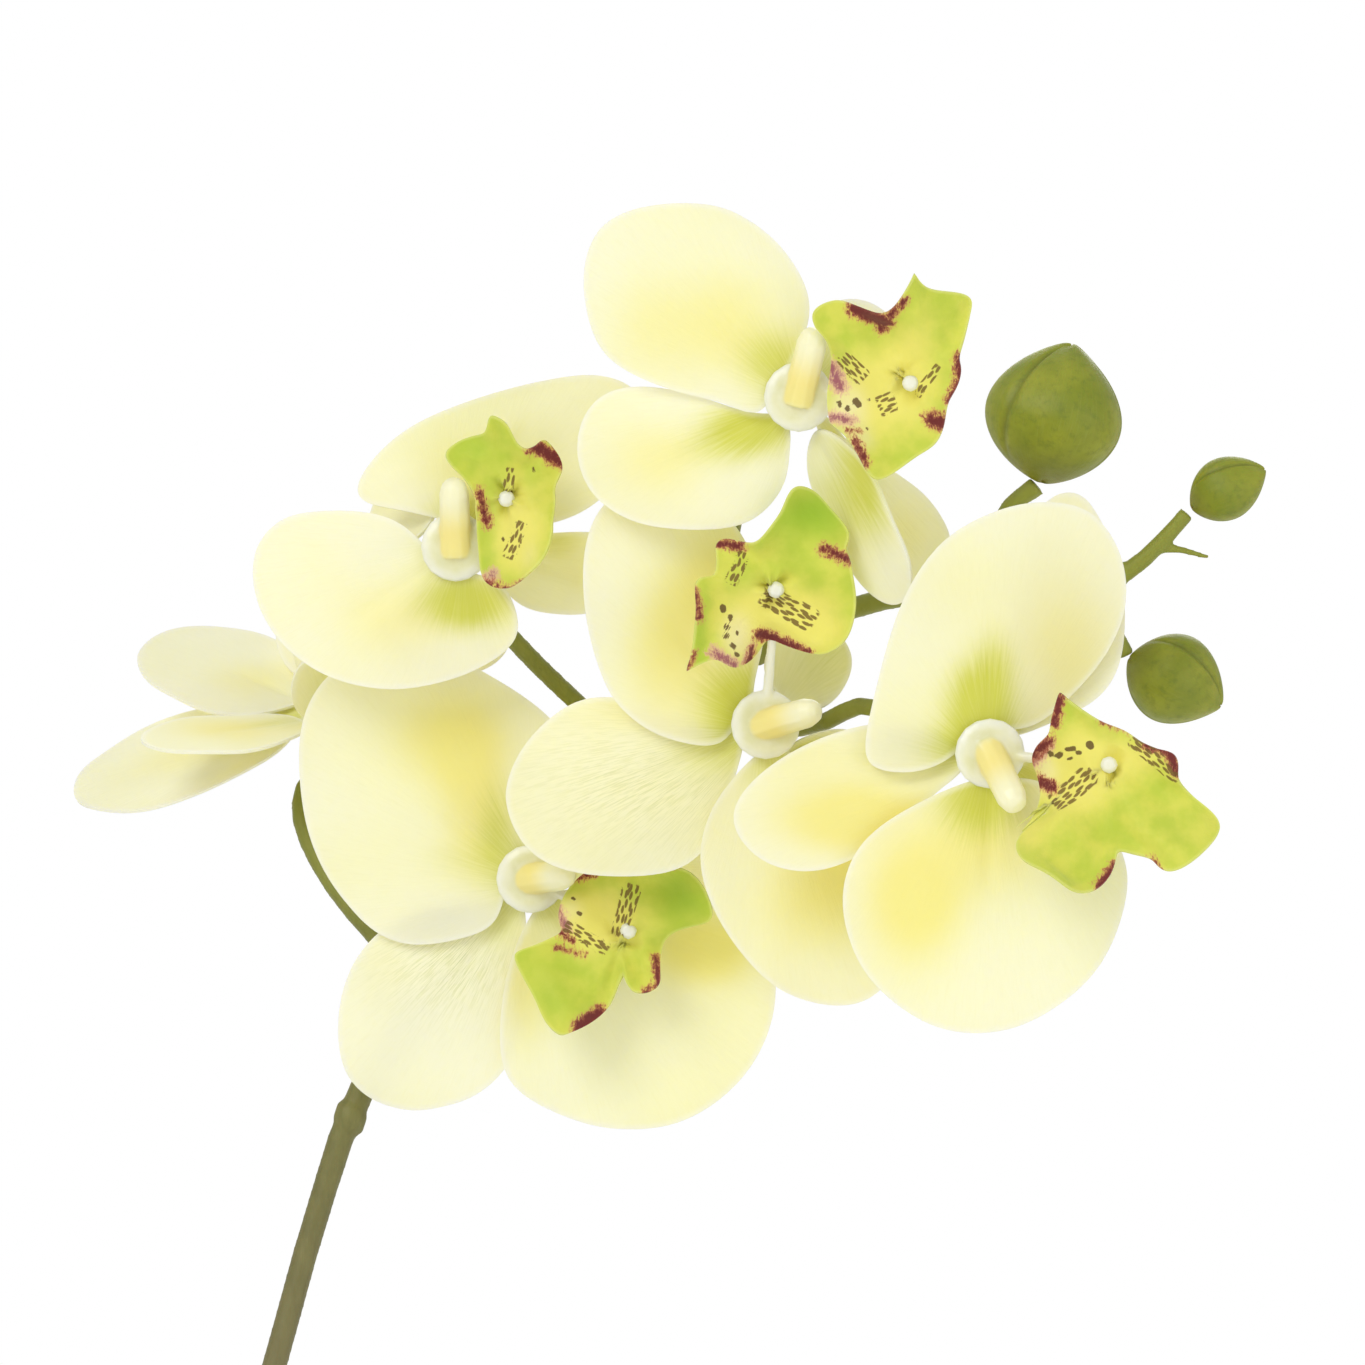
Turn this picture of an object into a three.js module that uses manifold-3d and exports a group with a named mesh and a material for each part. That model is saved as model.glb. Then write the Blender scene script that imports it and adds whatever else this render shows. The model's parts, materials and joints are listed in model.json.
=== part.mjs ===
// A potted moth orchid: one arching spray of six flowers and three buds over a plain round pot.
// Millimetres, +Z up, the pot's foot on z = 0, the flowers facing -Y.
import * as THREE from "three";
import { mergeVertices } from "three/addons/utils/BufferGeometryUtils.js";
import Module from "manifold-3d";

const wasm = await Module();
wasm.setup();

// Driving sizes
const gap = 0.3; // clearance between pieces that touch
const potHeight = 120;
const potTopRadius = 62;
const potFootRadius = 44;
const potWall = 4.5;
const rimDrop = 15; // from the pot's rim down to the growing medium
const socketDepth = 14; // how far the stem stands in the medium
const sprayScale = 1; // size of the stem, its flowers and its buds together
const stemBaseRadius = 3.2;
const petalThickness = 0.8;
const lipThickness = 0.8;
const leafThickness = 2.2;
const leafReach = 165;
const leafWidth = 58;
const discRadius = 6; // the column's round foot, which hides the petal claws
const coreRadius = 3.2; // the solid middle the claws stand round
const flangeRadius = 4.6; // the calyx plate behind the sepals

const clawStart = coreRadius + gap + 0.5;
const clawWidth = 3.2;
const flangeFront = -0.1;
const rearLayer = flangeFront + gap + petalThickness / 2;
const frontLayer = rearLayer + 1.4;
const discBack = frontLayer + petalThickness / 2 + 0.5;
const discThickness = 1.8;
const lipLift = discBack + discThickness + 1.2;
const pinRadius = 0.7;
const pinHole = pinRadius + gap;
const knobRadius = 1.6;
const clearOfFlange = flangeRadius + gap;
const besideFoot = discRadius - 0.6 + petalThickness + 6 * (sprayScale - 1); // wider blades start further out
const mediumLevel = potHeight - rimDrop;

const left = new THREE.Vector3(-1, 0, 0);
const up = new THREE.Vector3(0, 0, 1);
const front = new THREE.Vector3(0, -1, 0);
const radians = THREE.MathUtils.degToRad;
// Where a blade that sweeps forward starts, so that it passes the column's foot
const pastFoot = (layer, sweep) =>
  discRadius + 0.95 - (discBack + 0.6 - layer) / Math.tan(radians(sweep));
const root = new THREE.Group();
root.name = "potted_orchid";

function add(name, geometry, colour) {
  const material = new THREE.MeshStandardMaterial({ color: colour, roughness: 0.6 });
  const mesh = new THREE.Mesh(geometry, material);
  mesh.name = name;
  root.add(mesh);
}

// A point of the spray: x and y across, z above the growing medium
function sprayPoint([x, y, z]) {
  return new THREE.Vector3(x, y, z).multiplyScalar(sprayScale).setZ(mediumLevel + z * sprayScale);
}

function geometryOf(points, triangles) {
  const geometry = new THREE.BufferGeometry().setFromPoints(points);
  geometry.setIndex(triangles);
  return geometry;
}

function solidOf(geometry) {
  const bare = geometry.clone();
  bare.deleteAttribute("normal");
  bare.deleteAttribute("uv");
  const merged = mergeVertices(bare, 1e-4);
  return new wasm.Manifold(
    new wasm.Mesh({
      numProp: 3,
      vertProperties: merged.attributes.position.array,
      triVerts: new Uint32Array(merged.index.array),
    }),
  );
}

function meshOf(solid) {
  const { numProp, numVert, vertProperties, triVerts } = solid.getMesh();
  const points = [];
  for (let i = 0; i < numVert; i++) {
    points.push(new THREE.Vector3().fromArray(vertProperties, i * numProp));
  }
  return geometryOf(points, [...triVerts]);
}

function joined(geometries) {
  return meshOf(geometries.map(solidOf).reduce((whole, next) => whole.add(next)));
}

// Rings of equal count, lofted one to the next and closed with a fan at each end
function loft(rings) {
  const count = rings[0].length;
  const points = rings.flat();
  const triangles = [];
  for (let k = 0; k + 1 < rings.length; k++) {
    for (let i = 0; i < count; i++) {
      const j = (i + 1) % count;
      const a = k * count + i;
      const b = k * count + j;
      triangles.push(a, b, b + count, a, b + count, a + count);
    }
  }
  const ends = [rings[0], rings.at(-1)].map((ring) => {
    const middle = new THREE.Vector3();
    ring.forEach((p) => middle.addScaledVector(p, 1 / count));
    return points.push(middle) - 1;
  });
  const last = (rings.length - 1) * count;
  for (let i = 0; i < count; i++) {
    const j = (i + 1) % count;
    triangles.push(ends[0], j, i, ends[1], last + i, last + j);
  }
  return geometryOf(points, triangles);
}

// Two directions square to an axis, right-handed with it
function across(axis) {
  const side = Math.abs(axis.y) < 0.9 ? front : up;
  const u = new THREE.Vector3().crossVectors(side, axis).normalize();
  return { u, v: new THREE.Vector3().crossVectors(axis, u) };
}

function ringAt(centre, axis, radius, sides, lobes = 0) {
  const { u, v } = across(axis);
  return Array.from({ length: sides }, (_, i) => {
    const turn = (2 * Math.PI * i) / sides;
    const r = radius * (1 + lobes * Math.cos(3 * turn));
    return centre.clone().addScaledVector(u, r * Math.cos(turn)).addScaledVector(v, r * Math.sin(turn));
  });
}

// A round rod along a smooth curve; each station is [point, radius]
function rod(stations, sides, steps) {
  const curve = new THREE.CatmullRomCurve3(
    stations.map(([p]) => p),
    false,
    "centripetal",
  );
  const rings = [];
  let { u } = across(curve.getTangent(0));
  for (let k = 0; k <= steps; k++) {
    const t = k / steps;
    const place = t * (stations.length - 1);
    const i = Math.min(Math.floor(place), stations.length - 2);
    const radius = THREE.MathUtils.lerp(stations[i][1], stations[i + 1][1], place - i);
    const tangent = curve.getTangent(t);
    u = u.clone().addScaledVector(tangent, -u.dot(tangent)).normalize();
    const v = new THREE.Vector3().crossVectors(tangent, u);
    const centre = curve.getPoint(t);
    rings.push(
      Array.from({ length: sides }, (_, n) => {
        const turn = (2 * Math.PI * n) / sides;
        return centre
          .clone()
          .addScaledVector(u, radius * Math.cos(turn))
          .addScaledVector(v, radius * Math.sin(turn));
      }),
    );
  }
  return loft(rings);
}

// A turned solid about an axis; each station is [distance along the axis, radius]
function turned(origin, axis, stations, sides, lobes = 0) {
  return loft(
    stations.map(([along, radius]) =>
      ringAt(origin.clone().addScaledVector(axis, along), axis, radius, sides, lobes),
    ),
  );
}

// A thin closed sheet over an outline, spoked from a middle point out to its edge.
// The surface function gives the height above the frame's plane; a hole leaves the middle open.
function sheet({ frame, outline, middle, surface, thickness, rings, hole = 0 }) {
  const count = outline.length;
  const place = (x, z) =>
    frame.origin
      .clone()
      .addScaledVector(frame.u, x)
      .addScaledVector(frame.v, z)
      .addScaledVector(frame.n, surface(x, z));
  const normal = (x, z) => {
    const e = 0.05;
    const dx = (surface(x + e, z) - surface(x - e, z)) / (2 * e);
    const dz = (surface(x, z + e) - surface(x, z - e)) / (2 * e);
    return frame.n.clone().addScaledVector(frame.u, -dx).addScaledVector(frame.v, -dz).normalize();
  };
  const flat = [];
  for (let k = hole ? 0 : 1; k <= rings; k++) {
    for (const [x, z] of outline) {
      const toEdge = Math.hypot(x - middle[0], z - middle[1]);
      const share = hole ? THREE.MathUtils.lerp(hole / toEdge, 1, k / rings) : k / rings;
      flat.push([THREE.MathUtils.lerp(middle[0], x, share), THREE.MathUtils.lerp(middle[1], z, share)]);
    }
  }
  if (!hole) flat.push(middle);
  const half = thickness / 2;
  const fronts = flat.map(([x, z]) => place(x, z).addScaledVector(normal(x, z), half));
  const backs = flat.map(([x, z]) => place(x, z).addScaledVector(normal(x, z), -half));
  const faces = [];
  const bands = hole ? rings : rings - 1;
  for (let i = 0; i < count; i++) {
    const j = (i + 1) % count;
    for (let k = 0; k < bands; k++) {
      const a = k * count + i;
      const b = k * count + j;
      faces.push([a, a + count, b + count], [a, b + count, b]);
    }
    if (!hole) faces.push([flat.length - 1, i, j]);
  }
  const triangles = [];
  const back = flat.length;
  faces.forEach(([a, b, c]) => triangles.push(a, b, c, back + a, back + c, back + b));
  const edge = bands * count;
  for (let i = 0; i < count; i++) {
    const j = (i + 1) % count;
    triangles.push(edge + i, back + edge + i, back + edge + j, edge + i, back + edge + j, edge + j);
    if (hole) triangles.push(i, j, back + j, i, back + j, back + i);
  }
  return geometryOf([...fronts, ...backs], triangles);
}

const turnedBy = ([x, z], angle) => [
  x * Math.cos(angle) - z * Math.sin(angle),
  x * Math.sin(angle) + z * Math.cos(angle),
];

// The two corners of a claw that points along the given angle
const clawEnds = (angle) =>
  [clawWidth / 2, -clawWidth / 2].map((side) => turnedBy([clawStart, side], angle));

// The outline scaled to the spray and run anticlockwise
function scaled(outline) {
  const size = outline.map(([x, z]) => new THREE.Vector2(x, z).multiplyScalar(sprayScale));
  if (THREE.ShapeUtils.area(size) < 0) size.reverse();
  return size.map((p) => p.toArray());
}

// An elliptic blade from its claw to its tip, along the first axis
function plainOutline(reach, width) {
  const outline = [[clawStart, clawWidth / 2], [clawStart, -clawWidth / 2]];
  for (let turn = -138; turn <= 138; turn += 23) {
    const along = clawStart + ((reach - clawStart) * (1 + Math.cos(radians(turn)))) / 2;
    outline.push([along, (width / 2) * Math.sin(radians(turn))]);
  }
  return outline;
}

const middleOf = (outline) => [
  outline.reduce((sum, p) => sum + p[0], 0) / outline.length,
  outline.reduce((sum, p) => sum + p[1], 0) / outline.length,
];

const frameOf = ({ hub, u, v, facing }) => ({ origin: hub, u, v, n: facing });

// A blade drawn face on: its outline is read across the flower's own plane from its middle.
// Beyond the column's foot it leans forward by the given slopes and cups across itself.
function openBlade(flower, { claw, outline, lean, cup, layer = frontLayer }) {
  const angle = radians(claw);
  const blade = [...scaled(outline), ...clawEnds(angle)];
  const surface = (x, z) => {
    const reach = Math.hypot(x, z);
    const free = Math.max(0, 1 - (discRadius + 0.5) / Math.max(reach, 1e-6));
    const side = (z * Math.cos(angle) - x * Math.sin(angle)) / 10;
    return layer + free * (lean[0] * x + lean[1] * z + cup * side * side);
  };
  return sheet({
    frame: frameOf(flower),
    outline: blade,
    middle: middleOf(blade),
    surface,
    thickness: petalThickness,
    rings: 3,
  });
}

// A blade seen from the side or from behind: swept out of the flower's plane and rolled about itself
function sweptBlade(flower, spec) {
  const { claw, reach, width, sweep, roll = 0 } = spec;
  const { layer = rearLayer, start = clearOfFlange } = spec;
  const angle = radians(claw);
  const out = flower.u.clone().multiplyScalar(Math.cos(angle));
  out.addScaledVector(flower.v, Math.sin(angle));
  const side = new THREE.Vector3().crossVectors(flower.facing, out);
  const u = out.clone().applyAxisAngle(side, -radians(sweep));
  const v = side.clone().applyAxisAngle(u, radians(roll));
  const origin = flower.hub.clone().addScaledVector(out, start).addScaledVector(flower.facing, layer);
  origin.addScaledVector(u, -clawStart);
  const outline = plainOutline(reach * sprayScale, width * sprayScale);
  return sheet({
    frame: { origin, u, v, n: new THREE.Vector3().crossVectors(u, v) },
    outline,
    middle: middleOf(outline),
    surface: () => 0,
    thickness: petalThickness,
    rings: 3,
  });
}

// The lip stands forward of the petals, dished and frilled, with a hole for the column's pin
function lipSurface({ pin, slope, dish, frill }) {
  const along = Math.atan2(pin[1], pin[0]);
  return (x, z) => {
    const reach = Math.hypot(x, z);
    const side = (z * Math.cos(along) - x * Math.sin(along)) / 10;
    const round = Math.atan2(z - pin[1], x - pin[0]);
    const rim = Math.hypot(x - pin[0], z - pin[1]) / (14 * sprayScale);
    const wave = frill * Math.sin(5 * round) * rim * rim;
    return lipLift + slope * reach + dish * side * side + wave;
  };
}

function lip(flower, spec) {
  const pin = [spec.pin[0] * sprayScale, spec.pin[1] * sprayScale];
  return sheet({
    frame: frameOf(flower),
    outline: scaled(spec.outline),
    middle: pin,
    surface: lipSurface({ ...spec, pin }),
    thickness: lipThickness,
    rings: 3,
    hole: pinHole,
  });
}

// The column: a round foot over the claws, a rounded peg, and an arm whose pin holds the lip
function column(flower, peg, spec) {
  const pin = [spec.pin[0] * sprayScale, spec.pin[1] * sprayScale];
  const reach = Math.hypot(...pin);
  const surface = lipSurface({ ...spec, pin });
  const foot = turned(
    flower.hub,
    flower.facing,
    [
      [discBack, discRadius - 0.7],
      [discBack + 0.6, discRadius],
      [discBack + discThickness - 0.5, discRadius - 0.2],
      [discBack + discThickness, discRadius - 1.4],
    ],
    16,
  );
  const pegRoot = flower.hub.clone().addScaledVector(flower.facing, discBack + 0.5);
  const pegWay = flower.u
    .clone()
    .multiplyScalar(peg[0])
    .addScaledVector(flower.v, peg[1])
    .addScaledVector(flower.facing, peg[2]);
  const pegLength = pegWay.length() + 1;
  const head = turned(
    pegRoot,
    pegWay.normalize(),
    [
      [-1, 3.2],
      [2.5, 2.7],
      [pegLength - 2.6, 2.6],
      [pegLength - 0.8, 2],
      [pegLength, 1],
    ],
    10,
  );
  const at = (share, depth) =>
    flower.hub
      .clone()
      .addScaledVector(flower.u, pin[0] * share)
      .addScaledVector(flower.v, pin[1] * share)
      .addScaledVector(flower.facing, depth);
  const pinDepth = surface(...pin);
  const knobBack = pinDepth + lipThickness / 2 + gap;
  const arm = rod(
    [
      [at((discRadius - 1.5) / reach, discBack + 1), 1],
      [at(0.8, pinDepth - 2.8), pinRadius],
      [at(1, pinDepth - 1.6), pinRadius],
      [at(1, knobBack + 0.8), pinRadius],
    ],
    6,
    7,
  );
  const knob = turned(
    at(1, knobBack),
    flower.facing,
    [
      [0, knobRadius * 0.75],
      [0.6, knobRadius],
      [1.6, knobRadius * 0.6],
    ],
    8,
  );
  const floor = flower.hub.dot(flower.facing) + discBack + 0.2;
  const trimmed = solidOf(head).trimByPlane(flower.facing.toArray(), floor);
  return meshOf([foot, arm, knob].map(solidOf).reduce((whole, next) => whole.add(next), trimmed));
}

// Behind each flower the pedicel swells into a receptacle: a flange, then the core the claws surround
function receptacle(flower) {
  return turned(
    flower.hub,
    flower.facing,
    [
      [-9 * sprayScale, 1.5],
      [-5, 2.1],
      [-2, 3.1],
      [flangeFront - 0.9, flangeRadius - 0.3],
      [flangeFront, flangeRadius],
      [flangeFront, coreRadius],
      [discBack - gap, coreRadius],
    ],
    10,
  );
}

function pedicel(flower, way, radius) {
  const end = flower.hub.clone().addScaledVector(flower.facing, -8 * sprayScale);
  const stations = [...way.map((p) => [sprayPoint(p), radius]), [end, 1.6]];
  return rod(stations, 6, 2 * way.length + 2);
}

// A flower's hub and its own axes; tilt is the sideways and upward lean of the way it faces
function flowerAt(hub, tilt) {
  const facing = new THREE.Vector3(tilt[0], -1, tilt[1]).normalize();
  const u = left.clone().negate();
  u.addScaledVector(facing, -u.dot(facing)).normalize();
  return { hub: sprayPoint(hub), facing, u, v: new THREE.Vector3().crossVectors(facing, u) };
}

const flowers = {
  flower_1: {
    at: flowerAt([155, -40, 329], [0.02, 0.02]),
    way: [[106, 16.5, 338.4], [116, 6, 333], [127.6, -13, 334.3], [134.2, -19, 337.1], [146, -27, 333]],
    blades: {
      upper_petal: {
        claw: 90,
        outline: [
          [7.5, 4], [13, 9], [18, 14], [22, 20.5], [23.5, 27.5], [22, 34.5], [18.5, 39.5], [14.5, 42],
          [7.5, 42.5], [1, 41], [-7, 37], [-12, 31], [-15.5, 24], [-18, 15.5], [-19.5, 9], [-21, 2],
          [-20.5, -2.5], [-14, -3.5], [-7.5, -2],
        ],
        lean: [0, 0.06],
        cup: -0.5,
      },
      lower_petal: {
        claw: 268,
        outline: [
          [-8.5, -6.5], [-18, -11.5], [-23, -16.5], [-25, -23.5], [-24, -31], [-20.5, -38], [-13, -44.5],
          [-6, -47], [1, -47], [7.5, -45], [15.5, -39.5], [20.5, -33], [23, -25], [23.5, -19],
          [21, -13], [14.5, -7], [7.5, -4],
        ],
        lean: [0, -0.04],
        cup: -0.5,
      },
      dorsal_sepal: {
        claw: 190,
        outline: [
          [-7, 3], [-14.5, 5.5], [-21, 5], [-28, 3], [-35, -0.5], [-41, -5.5], [-43.5, -10.5],
          [-41.5, -15], [-37.5, -18.5], [-31.5, -20], [-25.5, -19], [-19.5, -16], [-13, -10], [-7, -5],
        ],
        lean: [0.12, 0],
        cup: -0.4,
        layer: rearLayer,
      },
      upper_sepal: {
        claw: 55,
        outline: [
          [10, 5], [17, 8], [21, 12], [22.8, 18], [23, 26], [22.5, 32], [20, 38], [17, 43.5],
          [13.5, 44.5], [10, 43], [6, 38], [4, 30], [3, 20], [3, 10],
        ],
        lean: [-0.1, -0.12],
        cup: -0.4,
        layer: rearLayer,
      },
      lower_sepal: { swept: true, claw: 325, reach: 32, width: 24, sweep: -32 },
    },
    peg: [3.9, -8.6, 7.5],
    lip: {
      pin: [19.5, -2],
      slope: 0.28,
      dish: 1.6,
      frill: 1.3,
      outline: [
        [11.5, 10.5], [10, 6], [10, 3], [8, 2], [6.3, -1], [7.8, -4], [8.4, -8.5], [4.6, -12.5], [3.2, -15],
        [4.5, -18], [8.5, -21], [12, -24], [15, -24], [17.5, -23], [20, -20.5], [21, -16.5], [24, -17],
        [25.6, -17.2], [28, -20], [33.5, -17.5], [36.5, -15], [38, -13], [37.6, -11], [35.5, -9],
        [33, -7.2], [31, -4.8], [31.5, -1.5], [30.5, 0.5], [27.5, 0.5], [24.5, 2], [20.5, 4],
        [17.5, 6], [14, 8.5],
      ],
    },
  },
  flower_2: {
    at: flowerAt([123, -32, 389], [0.02, 0.02]),
    way: [[112, 16.3, 343.2], [111, 6, 362], [116, -10, 380]],
    blades: {
      upper_petal: {
        claw: 140,
        outline: [
          [2, 12], [2, 17.5], [-0.5, 22.5], [-4.5, 27.5], [-11.5, 32], [-18, 32.8], [-25, 32.4],
          [-30, 31], [-33.8, 28.5], [-36, 24], [-36.5, 17.5], [-34.5, 9], [-30, 4.5], [-20, 0.5],
          [-13, -0.5], [-6.5, -4],
        ],
        lean: [-0.02, 0.06],
        cup: -0.5,
      },
      lower_petal: {
        swept: true,
        claw: 297,
        reach: 37,
        width: 17,
        sweep: 2,
        roll: 50,
        start: besideFoot,
        layer: frontLayer,
      },
      dorsal_sepal: {
        claw: 235,
        outline: [
          [-8, -3], [-16.5, 0.5], [-26.5, 2.5], [-33.5, 1], [-37, -4], [-37.5, -10.5], [-35, -16.5],
          [-30, -20], [-24.5, -22], [-14, -22.5], [-7, -21], [-2, -15], [-1.5, -10],
        ],
        lean: [0.06, 0.04],
        cup: -0.4,
        layer: rearLayer,
      },
      right_sepal: {
        claw: 320,
        outline: [
          [8, -6], [14, -11], [21, -15], [25, -20], [27, -24.5], [24.5, -29.5], [18.5, -32],
          [13, -26], [9.5, -19], [6.5, -12],
        ],
        lean: [-0.3, 0.26],
        cup: -0.4,
        layer: rearLayer,
      },
      upper_sepal: { swept: true, claw: 32, reach: 31, width: 22, sweep: -52 },
    },
    peg: [2.5, 10.5, 4],
    lip: {
      pin: [18.5, 2],
      slope: 0.25,
      dish: 1.4,
      frill: 1.3,
      outline: [
        [1.5, 14.5], [2, 11.4], [4.6, 9.2], [5.5, 6], [4.5, 1.5], [5, -4.5], [6, -5.5], [8, -7.5],
        [10, -11], [11, -13.5], [13, -15], [17, -12], [20.5, -9.5], [23, -7.5], [24.5, -2], [27, 2],
        [27.5, 5], [26.5, 6.5], [27.5, 11.5], [29, 15], [28.5, 16.5], [24.5, 17], [21, 17],
        [19, 20], [17, 16], [15, 14], [11.5, 14.5], [8.5, 15.5], [6, 16.5],
      ],
    },
  },
  flower_3: {
    at: flowerAt([117.5, -20, 334], [0.02, -0.03]),
    way: [[101, 16.8, 334.4], [107, 8, 334], [114, -4, 334]],
    blades: {
      upper_petal: {
        claw: 138,
        outline: [
          [-2, 7.5], [0.5, 16], [-1, 26.5], [-5, 35], [-13, 40], [-22, 41], [-28, 37.5], [-30.5, 31.5],
          [-31.2, 24.5], [-30, 14.5], [-27, 6], [-24.5, 2.5], [-19.5, -1.5], [-13, -3.5], [-7, -4],
        ],
        lean: [-0.04, 0.02],
        cup: -0.5,
      },
      lower_petal: {
        claw: 280,
        outline: [
          [-6, -9.5], [-10, -15.5], [-11.5, -23], [-9.5, -30], [-6, -36.5], [-1, -42.5], [4, -46.2],
          [11, -48], [16, -47.5], [19.5, -45.5], [24, -40], [25.5, -31.5], [23, -21], [16, -12.5],
          [8.5, -6.5],
        ],
        lean: [0, -0.02],
        cup: -0.5,
      },
      dorsal_sepal: {
        claw: 200,
        outline: [
          [-13, -1], [-21, 4], [-29, 5], [-35, 2.5], [-41, -3.5], [-44, -10], [-44, -14.5],
          [-41.5, -20.5], [-36.5, -24.5], [-28, -26.2], [-19.5, -26], [-13, -24.5], [-9, -20],
          [-6.5, -14.5], [-5, -8.5],
        ],
        lean: [0.1, 0.04],
        cup: -0.4,
        layer: rearLayer,
      },
      right_sepal: { swept: true, claw: 52, reach: 30, width: 15, sweep: -56 },
      lower_sepal: { swept: true, claw: 316, reach: 33, width: 23, sweep: -27, start: 5.6 },
    },
    peg: [8, 2.5, 7],
    lip: {
      pin: [1.5, 23],
      slope: 0.25,
      dish: 1.3,
      frill: 1.3,
      outline: [
        [1.8, 35.5], [-2.5, 30.5], [-4.5, 31], [-7, 32], [-8.5, 31], [-8.5, 29], [-8, 25.3], [-12, 24.9],
        [-12.5, 22], [-12.5, 13], [-14, 9], [-9.3, 11.9], [-7.5, 10.5], [-5, 9.5], [-2, 10.5],
        [-0.5, 12.5], [0.3, 14.5], [3, 13.5], [7, 12], [10.5, 12], [14.5, 14.5], [15.5, 21], [14, 28],
        [12, 30], [14, 32.5], [10.5, 37], [8, 40], [5, 41], [3.5, 40], [2.6, 37.5],
      ],
    },
  },
  flower_4: {
    at: flowerAt([65, -8, 364], [-0.04, 0.02]),
    way: [[95, 17, 329], [85.7, 11, 337.2], [74.5, 8, 348.3], [67.5, 5, 357]],
    blades: {
      upper_petal: {
        claw: 80,
        outline: [
          [7.5, 2.5], [18, 4], [24.5, 7.5], [30.5, 14.5], [33, 21], [31.5, 27], [25.5, 29.5],
          [19.5, 29.5], [7.5, 27], [-5, 22.5], [-12, 18], [-17.5, 11.5], [-17, 7.5], [-9, 6.5],
        ],
        lean: [0.05, -0.06],
        cup: -0.3,
        layer: rearLayer + 0.5,
      },
      lower_petal: {
        claw: 215,
        outline: [
          [-9.5, 5], [-18, 6.5], [-26.5, 6], [-30.5, 4.5], [-34, 1], [-35, -4], [-34, -10], [-30.5, -16],
          [-24.5, -21], [-18, -23.5], [-11, -24.5], [-4, -23.5], [2.5, -21.5], [8.5, -18],
          [11, -14.5], [10, -9.5], [7.5, -5],
        ],
        lean: [-0.03, -0.02],
        cup: -0.4,
      },
      right_sepal: {
        claw: 350,
        outline: [
          [7.5, 2], [16, 2.5], [24, 3], [30, 1], [31.5, -3.5], [29, -8.5], [23, -11.5], [17, -11.5],
          [11, -10.5], [7, -6],
        ],
        lean: [-0.16, 0.02],
        cup: -0.3,
        layer: rearLayer,
      },
      lower_sepal: { swept: true, claw: 262, reach: 31, width: 22, sweep: -52 },
      dorsal_sepal: { swept: true, claw: 144, reach: 29, width: 18, sweep: -62, start: 5.6 },
    },
    peg: [0, 10.5, 5],
    lip: {
      pin: [9, 8],
      slope: 0.2,
      dish: 1.2,
      frill: 1.2,
      outline: [
        [-1, 14], [-1.5, 16], [1.5, 18], [5.8, 18.5], [6.3, 22.5], [9.6, 21.5], [10.5, 17], [13, 16.5],
        [16, 18.5], [19, 13.5], [17, 10.5], [17, 7], [18, 2], [15.5, -3.5], [11, -6.5], [8, -7.5],
        [4.4, -6], [4, -1], [3.8, 4], [3.9, 10],
      ],
    },
  },
  flower_5: {
    at: flowerAt([77.6, 4, 307.5], [-0.03, -0.03]),
    way: [[64, 17, 294], [70, 16, 301]],
    blades: {
      upper_petal: {
        claw: 130,
        outline: [
          [4, 6], [7.5, 13.5], [7.5, 22], [3.5, 27.5], [-2.5, 32], [-8.5, 35.5], [-14.5, 38.5], [-22, 40],
          [-32.5, 37.5], [-38, 31.5], [-40, 24.5], [-40, 17], [-39, 8.5], [-35.5, 0], [-31.5, -5],
          [-27, -9.5], [-22, -11.5], [-17, -11.5], [-10, -10], [-5, -7.5],
        ],
        lean: [0.04, -0.04],
        cup: -0.4,
      },
      lower_petal: {
        claw: 305,
        outline: [
          [-3, -12], [-5, -20.5], [-5.5, -28], [-4.5, -34.5], [0, -38.5], [7, -41.5], [13.5, -43],
          [22, -43], [29, -40.5], [35.5, -35.5], [40, -29], [42.3, -21], [41.5, -12], [37.5, -5],
          [29, -1.5], [17, -1], [8.5, -1.5],
        ],
        lean: [0.02, -0.02],
        cup: -0.4,
      },
      dorsal_sepal: {
        claw: 235,
        outline: [
          [-7, -3.5], [-15.5, -4], [-24, -7], [-30.5, -13.5], [-33, -20.5], [-33.5, -27], [-32.5, -33],
          [-30, -36.5], [-26.5, -39], [-20.5, -40.5], [-15.5, -39.5], [-10, -38], [-4, -33],
          [-1, -25], [0, -17], [-1, -9],
        ],
        lean: [0.08, 0.06],
        cup: -0.4,
        layer: rearLayer,
      },
      upper_sepal: { swept: true, claw: 92, reach: 31, width: 24, sweep: -42 },
      right_sepal: { swept: true, claw: 14, reach: 34, width: 26, sweep: -14 },
    },
    peg: [6.5, 1, 8],
    lip: {
      pin: [17, -8.5],
      slope: 0.2,
      dish: 1.1,
      frill: 1.2,
      outline: [
        [7.6, 1], [5, -4.5], [5, -7], [6, -9], [0, -11.5], [-3, -13], [-1, -17], [1, -19.5],
        [2.5, -23], [5.5, -26], [7.5, -25.5], [11, -24], [14, -21.5], [15.6, -16.4], [16, -16],
        [17.5, -19], [20, -19.5], [23, -18], [22.5, -14.5], [22, -11], [25, -8.3], [28.5, -7.7],
        [32, -6.6], [31, -2.5], [28.5, 2.5], [22, 3.5], [13.5, 3],
      ],
    },
  },
  flower_6: {
    at: flowerAt([43.5, 30, 335.5], [-0.5, 2.2]),
    way: [[60, 17, 288], [48.6, 21, 299], [41, 25, 309], [37.3, 28, 318], [38.5, 31, 324]],
    blades: {
      left_petal: { swept: true, claw: 180, reach: 48, width: 28, sweep: -8, roll: -8 },
      front_sepal: {
        swept: true,
        claw: 218,
        reach: 37,
        width: 22,
        sweep: 16,
        start: besideFoot + 0.6,
        layer: frontLayer,
      },
      rear_sepal: {
        swept: true,
        claw: 143,
        reach: 39,
        width: 27,
        sweep: 13,
        start: besideFoot,
        layer: frontLayer,
      },
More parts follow.
